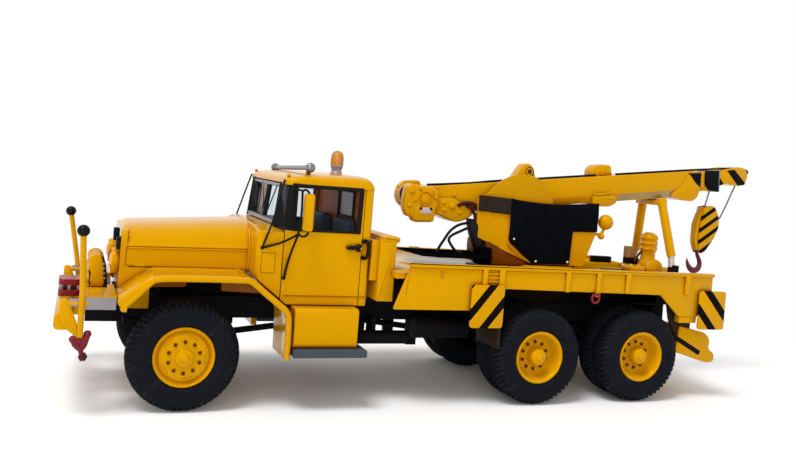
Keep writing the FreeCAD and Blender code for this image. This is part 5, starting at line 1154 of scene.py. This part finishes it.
# Hydraulic hoses: rubber-covered wire, black from the moulded wedge at the hinge down to the hose plate and
# brown in the two bows under the boom. Both ends are glued into drilled holes.
loops = [
    [
        (68.1, -4.75, 38.8), (65.7, -4.75, 39.1), (63.3, -4.75, 38.5), (61.3, -4.75, 37.0), (60.0, -4.75, 35.0),
        (58.9, -4.75, 33.2), (58.3, -4.75, 31.9),
    ],
    [
        (68.7, -5.3, 37.8), (65.9, -5.3, 38.0), (63.9, -5.3, 37.2), (61.7, -5.3, 36.1), (60.9, -5.3, 35.1),
        (61.5, -5.3, 33.9), (62.9, -5.3, 32.4), (64.3, -5.3, 31.9),
    ],
    [(67.7, -5.0, 37.6), (68.9, -5.0, 35.0), (69.7, -5.0, 32.2)],
]
wedge = [
    (68.1, 32.6), (70.4, 32.6), (69.4, 36.0), (68.2, 38.4), (66.8, 40.3), (65.3, 40.3), (65.6, 38.6), (66.2, 36.6),
    (67.2, 34.4),
]
black_hoses = [tube(loop, 0.34, 12, 60) for loop in loops[:2]] + [tube(loops[2], 0.7, 12, 24)]
black_hoses.append(cast(wedge, 0.4, -6.4, -4.2, 0.2))
piece(
    "black_hoses", black_hoses, plain_paint("black_hose_rubber", "141212", 0.4, 0.12), "boom", "hydraulic_hoses",
    crease=60,
)
bows = [
    [
        (62.7, -5.2, 43.1), (63.4, -5.5, 43.7), (65.4, -5.5, 44.0), (66.9, -5.5, 43.6), (67.9, -5.5, 41.9),
        (68.2, -5.5, 40.1), (68.1, -5.3, 38.2), (67.8, -5.0, 36.9),
    ],
    [(64.7, -5.0, 43.3), (66.0, -5.5, 42.9), (66.8, -5.5, 41.8), (67.3, -5.5, 40.0), (67.1, -5.2, 38.2)],
]
piece(
    "brown_hoses", [tube(bow, 0.42, 12, 60) for bow in bows], plain_paint("brown_hose_rubber", "3B1410", 0.4, 0.15),
    "boom", crease=60,
)

# Work lamp: a turned yellow ball with a flat lens on a bent stalk, and a small ball under it.
lamp_parts = [ball((103.0, -7.2, 41.5), 1.95, 28), ball((102.0, -7.2, 37.9), 0.85, 18)]
lamp_parts.append(tube([(99.6, -7.2, 38.5), (101.2, -7.2, 38.3), (102.2, -7.2, 38.8), (102.8, -7.2, 40.4)], 0.4, 10))
piece("lamp_ball", lamp_parts, yellow_enamel, "turret", "work_lamp", crease=60)

# Turret belly: the sloping plate under the nose and the turntable's skirt, in a brown-orange enamel that is
# painted shade under the nose.
belly_shade_paint = enamel("painted_shade_brown_enamel", "7A400C", "6A3408", "4A2206", 0.4, 0.1, 1500.0)
belly_line = [(70.0, 35.2), (75.1, 33.3), (82.2, 30.6), (82.6, 29.7), (70.2, 29.7), (69.9, 33.4)]
piece("turret_belly", [cast(belly_line, 0.2, -7.6, 4.0, 0.2)], belly_shade_paint, "turret")

# Outer boom: a folded sheet box in yellow enamel with its lower corners chamfered, open at the far end. Cast
# collars thicken it behind the turret and at the end, and a black lacquered corner stripe marks the end.
lift = math.radians(7.0)
hinge = (80.0, 46.4)


def aloft(part):
    """Turn a level boom part up about the hinge: x' = hx + dx cos a - dz sin a, z' = hz + dx sin a + dz cos a."""
    points, faces = part
    x, y, z = np.asarray(points, float).T
    x, z = x - hinge[0], z - hinge[1]
    tipped = (
        hinge[0] + x * math.cos(lift) - z * math.sin(lift), y, hinge[1] + x * math.sin(lift) + z * math.cos(lift),
    )
    return np.stack(tipped, 1), faces


boom_section = softened([(-4.0, 45.4), (-3.0, 43.5), (3.0, 43.5), (4.0, 45.4), (4.0, 50.3), (-4.0, 50.3)], 0.3, 3)
bore_section = softened([(-3.1, 44.7), (-3.0, 44.3), (3.0, 44.3), (3.1, 44.7), (3.1, 49.7), (-3.1, 49.7)], 0.05, 3)
boom_rings = [
    lifted(inset(boom_section, depth), x, "x")
    for x, depth in ((53.2, 0.3), (53.4, 0.05), (53.8, 0.0), (132.6, 0.0), (132.9, 0.05), (133.0, 0.3))
]
boom_rings += [lifted(bore_section, x, "x") for x in (133.0, 86.5)]
boom_parts = [aloft(skin(boom_rings))]
collar_one = [
    (100.4, 48.1), (106.6, 48.7), (107.9, 47.7), (107.9, 46.8), (106.7, 45.8), (105.4, 45.4), (103.0, 45.35),
    (100.6, 45.7),
]
collar_two = [
    (124.6, 49.7), (126.6, 49.0), (129.6, 48.45), (132.0, 48.45), (133.5, 49.6), (134.15, 52.0), (134.1, 56.5),
    (130.6, 56.2), (128.0, 52.5),
]
boom_parts.append(cast(collar_one, 0.7, -4.45, 4.45, 0.4))
boom_parts.append(cast(collar_two, 0.8, -4.3, 4.3, 0.25))
ledge = [(100.6, 48.0), (105.9, 48.6), (105.9, 49.2), (100.6, 48.6)]
boom_parts.append(cast(ledge, 0.2, -4.6, 4.6, 0.15))
sheave_case = [
    (101.3, 52.6), (101.1, 54.2), (101.6, 55.3), (102.6, 56.0), (104.4, 56.2), (105.6, 56.3), (106.4, 55.8),
    (107.0, 53.4),
]
boom_parts.append(cast(sheave_case, 0.5, -2.2, 2.2, 0.4))
boom_parts.append(cast([(103.4, 53.2), (103.6, 56.1), (106.3, 56.2), (107.1, 53.4)], 0.5, -2.45, 2.45, 0.3))
for x, z in ((57.4, 46.9), (62.0, 45.6)):
    boom_parts.append(ball((x, -4.0, z), 0.5, 14, 0.6))
piece("boom_box", boom_parts, yellow_enamel, "boom", "outer_boom", crease=40)
# The chamfer strips are pale beige: a painted reflection of the white floor below.
chamfer_reflection_paint = enamel("painted_floor_reflection_on_chamfer", "AF9768", "A48A58", "9A7430", 0.3, 0.2, 1500.0)
strip = [(-4.04, 45.4), (-3.03, 43.5), (-2.8, 43.7), (-3.8, 45.5)]
strips = [
    aloft(skin([lifted([(side * y, z) for y, z in strip], x, "x") for x in (108.6, 127.0)]))
    for side in (-1, 1)
]
piece("boom_chamfers", strips, chamfer_reflection_paint, "boom")
corner = [(130.0, 55.9), (134.05, 56.35), (134.1, 52.3), (132.2, 53.6)]
marks = [cast(corner, 0.1, *across(s, 4.33, 4.1), 0.02, steps=2) for s in (-1, 1)]
piece("boom_end_marks", marks, black_enamel, "boom")

# Hoist line on the boom: black thread from the winch drum over the pulleys. It lies on the boom's left edge and
# is stretched straight, so it has no slack.
line_black = plain_paint("black_hoist_thread", "0B0B0C", 0.5, 0.08, 0.0, 0.6)
line_low = [
    (55.0, -3.4, 47.6), (60.0, -3.4, 48.1), (66.5, -3.3, 48.8), (72.5, -3.3, 49.7), (84.0, -3.3, 51.1),
    (101.3, -3.3, 53.25),
]
line_high = [(107.4, -3.3, 53.95), (120.0, -3.3, 55.5), (132.8, -3.3, 57.05)]
piece("hoist_line", [tube(route, 0.27, 8) for route in (line_low, line_high)], line_black, "boom", crease=60)

# Winch at the boom's tail: a cast gear case on the left and a flange on the right in yellow enamel, with a dark
# wound drum between them. The valve box below shows a bare white plate with two black plugs, and the hinge's
# casting with its bolts lies next to the case.
case_line = [
    (49.7, 47.6), (48.6, 46.8), (48.3, 44.3), (48.3, 41.7), (49.2, 40.1), (50.4, 39.9), (50.7, 39.2), (51.6, 38.75),
    (55.6, 39.0), (56.2, 39.9), (56.3, 41.5), (56.9, 43.0), (56.9, 46.3), (55.2, 47.3), (52.4, 47.3), (51.4, 47.5),
]
winch = [cast(case_line, 0.35, -7.0, -4.2, 0.45)]
boss = [
    (0.0, -0.15), (0.6, -0.12), (1.05, -0.05), (1.15, 0.12), (1.35, 0.14), (1.5, -0.12), (1.72, -0.06), (1.85, 0.25),
    (1.9, 0.9), (0.0, 0.9),
]
winch.append(lathe(boss, (53.4, -7.15, 44.5), 1, 32))
winch.append(box_slab(55.4, 56.5, -7.4, -6.5, 44.4, 46.6, 0.3, 0.2))
winch.append(box_slab(50.9, 55.9, -7.35, -5.0, 39.15, 42.5, 0.5, 0.25))
for x, z, r in ((50.0, 45.9, 0.7), (49.6, 42.6, 0.6), (50.9, 43.9, 0.5), (52.0, 46.7, 0.55), (55.2, 42.6, 0.45)):
    winch.append(ball((x, -7.0, z), r, 14, 0.5))
far_flange = [(0.0, 0.0), (3.2, 0.0), (3.5, 0.3), (3.5, 1.4), (3.1, 1.7), (0.0, 1.7)]
winch.append(lathe(far_flange, (54.1, 7.2, 44.7), -1, 48))
winch.append(
    cast([(50.8, 46.6), (52.6, 48.1), (56.5, 48.4), (57.2, 47.0), (56.0, 44.0), (52.0, 44.0)], 0.5, 5.3, 7.2, 0.4)
)
hinge_line = [
    (56.6, 44.6), (61.5, 44.8), (65.0, 43.4), (66.6, 42.2), (66.8, 41.2), (65.4, 40.1), (64.0, 39.5), (62.4, 39.2),
    (60.7, 39.7), (59.4, 40.3), (56.6, 41.0),
]
winch.append(cast(hinge_line, 0.4, -5.1, 3.0, 0.3))
for x, z, r in ((61.2, 42.9, 0.9), (63.3, 41.6, 0.7), (59.3, 41.9, 0.6), (59.0, 43.6, 0.6), (64.2, 43.0, 0.5)):
    winch.append(ball((x, -5.0, z), r, 16, 0.7))
piece("winch_castings", winch, yellow_enamel, "boom", "boom_gearbox", crease=45)
drum = [(0.0, 0.0)] + [(2.15 + 0.14 * (n % 2), 0.2 + 0.3 * n) for n in range(30)] + [(0.0, 9.15)]
drum_end = [(0.0, 0.0), (2.9, 0.0), (3.1, 0.2), (3.0, 0.4), (0.0, 0.4)]
piece(
    "flange_inside", [lathe(drum_end, (53.9, 5.15, 44.5), 1, 40)],
    plain_paint("beige_bare_casting", "D0AC78", 0.45, 0.2), "boom",
)
piece(
    "winch_drum", [lathe(drum, (53.6, -4.1, 44.9), 1, 40)], plain_paint("brown_wound_drum", "3A1E0C", 0.5, 0.12),
    "boom", crease=60,
)
piece(
    "valve_plate", [box_slab(52.3, 55.0, -7.5, -7.2, 40.9, 42.3, 0.1, 0.05)],
    plain_paint("white_valve_plate", "BDB2B8", 0.4, 0.2), "boom",
)
plugs = [ball((x, -7.5, 42.1), 0.34, 14, 0.7) for x in (52.35, 54.85)]
piece("valve_plugs", plugs, gloss_black, "boom", crease=60)

# Inner boom: the sliding box with a bare yellow collar, the black sheave block and the crowned head in yellow
# enamel. The head carries a slanting black stripe on each side, and a dark patch low at its front that is painted
# shadow.
inner_section = softened([(-2.85, 44.55), (2.85, 44.55), (2.85, 49.45), (-2.85, 49.45)], 0.25, 3)
head_line = [
    (140.8, 57.5), (143.5, 58.2), (146.0, 58.7), (148.8, 58.75), (150.1, 58.4), (150.55, 57.7), (150.5, 56.1),
    (150.1, 54.8), (149.4, 54.1), (147.4, 53.6), (143.6, 54.0), (141.5, 53.3), (140.8, 53.4),
]
stage = [aloft(skin([lifted(inner_section, x, "x") for x in (87.0, 141.5)]))]
stage.append(cast(head_line, 0.4, -3.7, 3.7, 0.35))
stage.append(cast([(134.3, 52.0), (136.2, 52.3), (136.2, 56.9), (134.3, 56.7)], 0.2, -3.3, 3.3, 0.2))
piece("stage_box", stage, yellow_enamel, "boom_stage", "inner_boom", crease=40)
block_line = [(136.1, 56.9), (140.7, 57.4), (141.0, 51.5), (137.8, 51.9), (136.9, 53.0), (136.2, 54.4)]
piece("sheave_block", [cast(block_line, 0.3, -3.65, 3.65, 0.2)], black_enamel, "boom_stage")
stripe = [(143.1, 57.6), (145.7, 58.1), (149.9, 54.5), (149.4, 54.05), (147.3, 53.7)]
# The low dark patch under the head's front is painted shadow.
painted_shadow_mark = [(140.85, 55.5), (142.4, 54.0), (141.4, 53.4), (140.85, 53.5)]
marks = [slab(line, *across(s, 3.73, 3.5), "y", 0.02) for s in (-1, 1) for line in (stripe, painted_shadow_mark)]
marks.append(slab([(149.6, 58.55), (150.53, 58.0), (150.56, 57.2), (150.1, 57.5)], -3.72, 3.72, "y", 0.02))
piece("head_stripes_and_painted_shadow", marks, black_enamel, "boom_stage")
edge_strip = [(140.55, 57.4), (140.85, 57.45), (141.15, 51.6), (140.9, 51.6)]
piece("block_edge", [slab(edge_strip, -3.72, -3.5, "y", 0.03)], pale_strip, "boom_stage")
head_thread = [(133.2, -3.1, 57.1), (140.5, -3.2, 57.9), (146.5, -3.2, 58.5), (148.7, -3.2, 58.55)]
piece("stage_line", [tube(head_thread, 0.25, 8)], line_black, "boom_stage", crease=60)

# Hook block: two cast cheeks in yellow enamel with three slanting black stripes, hung on stiff steel wires from
# the sheave block and the head. Nothing in it swings.
cheek_line = [
    (138.4, 47.1), (140.5, 47.6), (142.0, 47.4), (143.1, 45.8), (143.8, 44.0), (143.9, 41.65), (142.6, 38.65),
    (139.8, 34.7), (138.4, 34.2), (137.6, 35.2), (137.3, 38.5), (137.6, 43.0),
]
block_stripes = striped_enamel("hook_block_stripes", (-0.559, 0.0, 0.829), -48.97, 2.62, 0.41)
body_line = [
    (138.3, 46.9), (141.9, 47.2), (143.5, 44.0), (143.5, 41.7), (139.7, 35.0), (137.2, 35.0), (136.4, 37.5),
    (136.4, 42.4), (137.4, 45.2),
]
piece(
    "block_cheeks", [cast(cheek_line, 0.4, *across(s, 1.6, 0.9), 0.25) for s in (-1, 1)], block_stripes, "boom_stage",
    "hook_block",
)
piece("block_body", [cast(body_line, 0.5, -1.15, 1.15, 0.4)], yellow_enamel, "boom_stage")
wire_grey = plain_paint("bare_steel_wire", "77747A", 0.35, 0.4, 0.6)
falls = [
    tube([(141.0, 0.0, 52.3), (139.6, 0.0, 46.9)], 0.22, 8),
    tube([(149.9, 0.0, 54.3), (145.3, 0.0, 44.5), (143.4, 0.0, 43.9)], 0.22, 8),
]
piece("hoist_wires", falls, wire_grey, "boom_stage", "hoist_rope", crease=60)
hook_route = [
    (138.2, 0, 35.2), (138.5, 0, 33.9), (139.3, 0, 32.4), (139.6, 0, 31.0), (138.9, 0, 29.7), (137.4, 0, 29.4),
    (136.2, 0, 30.2), (135.5, 0, 31.3), (135.1, 0, 32.6),
]
hook_bar = tube(hook_route, [0.4, 0.5, 0.6, 0.65, 0.8, 0.85, 0.7, 0.45, 0.15], 14, 60)
piece(
    "hook_forging", [hook_bar, ball((138.3, 0, 34.9), 0.6, 16)],
    enamel("crimson_purple_enamel", "6A2238", "54182C", "38101C", 0.35, 0.2, 1800.0), "boom_stage", "hook", crease=60,
)

# Boom rest: an A frame of two tubes and a crossbar in yellow enamel. Each tube ends in a short bare silver
# tube in a black foot on the deck.
rest, silver, black_feet = [], [], []
for s in (-1, 1):
    top, low = (121.9 + s * 0.4, s * 4.4, 48.6), (123.7 + s * 0.4, s * 8.4, 33.7)
    rest.append(tube([top, low], [1.15, 1.15], 24))
    silver.append(tube([(123.65 + s * 0.4, s * 8.35, 34.2), (123.8 + s * 0.4, s * 8.7, 31.0)], 0.85, 20))
    black_feet.append(box_slab(122.9, 124.9, *across(s, 10.1, 7.6), 29.1, 31.5, 0.3, 0.3))
rest.append(cast([(120.4, 46.7), (122.9, 46.9), (122.9, 48.5), (120.4, 48.2)], 0.3, -5.4, 5.4, 0.3))
piece("rest_frame", rest, yellow_enamel, "chassis", "boom_rest", crease=50)
piece("rest_silver", silver, plain_paint("bare_silver_tube", "C4C0C0", 0.35, 0.4, 0.3), "chassis", crease=50)
piece("rest_feet", black_feet, black_enamel, "chassis")

# Rear winch: a turned capstan with a domed cap, two ribs and a narrower neck on a square base, in yellow
# enamel. Beside it stand a beige box, a black box and a brown lever.
capstan = [
    (0.0, 39.25), (1.0, 39.15), (1.9, 38.6), (2.4, 37.9), (2.45, 37.5), (2.2, 37.2), (2.25, 36.6), (2.55, 36.2),
    (2.25, 35.8), (2.25, 35.2), (2.5, 34.8), (2.2, 34.4), (1.9, 33.6), (1.95, 32.4), (2.3, 31.6), (2.7, 30.9),
    (2.75, 29.1), (0.0, 29.1),
]
deck_parts = [lathe_z(capstan, (122.1, 0.0, 0.0), 40)]
deck_parts.append(lathe([(0.0, 0.0), (2.0, 0.0), (2.5, 0.3), (2.5, 1.2), (0.0, 1.2)], (120.3, -6.2, 29.9), 1, 32))
deck_parts += [
    box_slab(111.8, 116.2, -7.5, -2.5, 29.1, 30.6, 0.5, 0.4), box_slab(116.0, 126.0, -4.5, 4.5, 29.1, 30.3, 0.4, 0.3),
]
deck_parts += [ball((x, -6.0, 30.4), 0.7, 16) for x in (112.6, 115.1)]
piece("capstan", deck_parts, yellow_enamel, "chassis", "rear_capstan", crease=50)
piece(
    "beige_box", [box_slab(117.1, 119.6, 2.0, 4.2, 31.9, 34.9, 0.2, 0.15)],
    plain_paint("beige_primer", "A9834E", 0.5, 0.15), "chassis",
)
piece(
    "black_box",
    [
        box_slab(117.2, 120.4, 1.8, 4.4, 30.1, 31.9, 0.2, 0.15),
        box_slab(104.4, 110.9, -7.0, -4.5, 29.0, 29.5, 0.2, 0.1),
        box_slab(113.3, 119.5, 13.0, 14.6, 29.1, 30.9, 0.2, 0.1),
    ],
    black_enamel, "chassis",
)
piece(
    "brown_lever", [tube([(118.6, 1.0, 31.2), (120.4, 0.0, 34.8), (121.2, -0.6, 37.2)], 0.32, 10)],
    plain_paint("brown_lever_paint", "5A2A0C", 0.4, 0.15), "chassis", crease=60,
)

bpy.context.scene.view_settings.view_transform = "Standard"
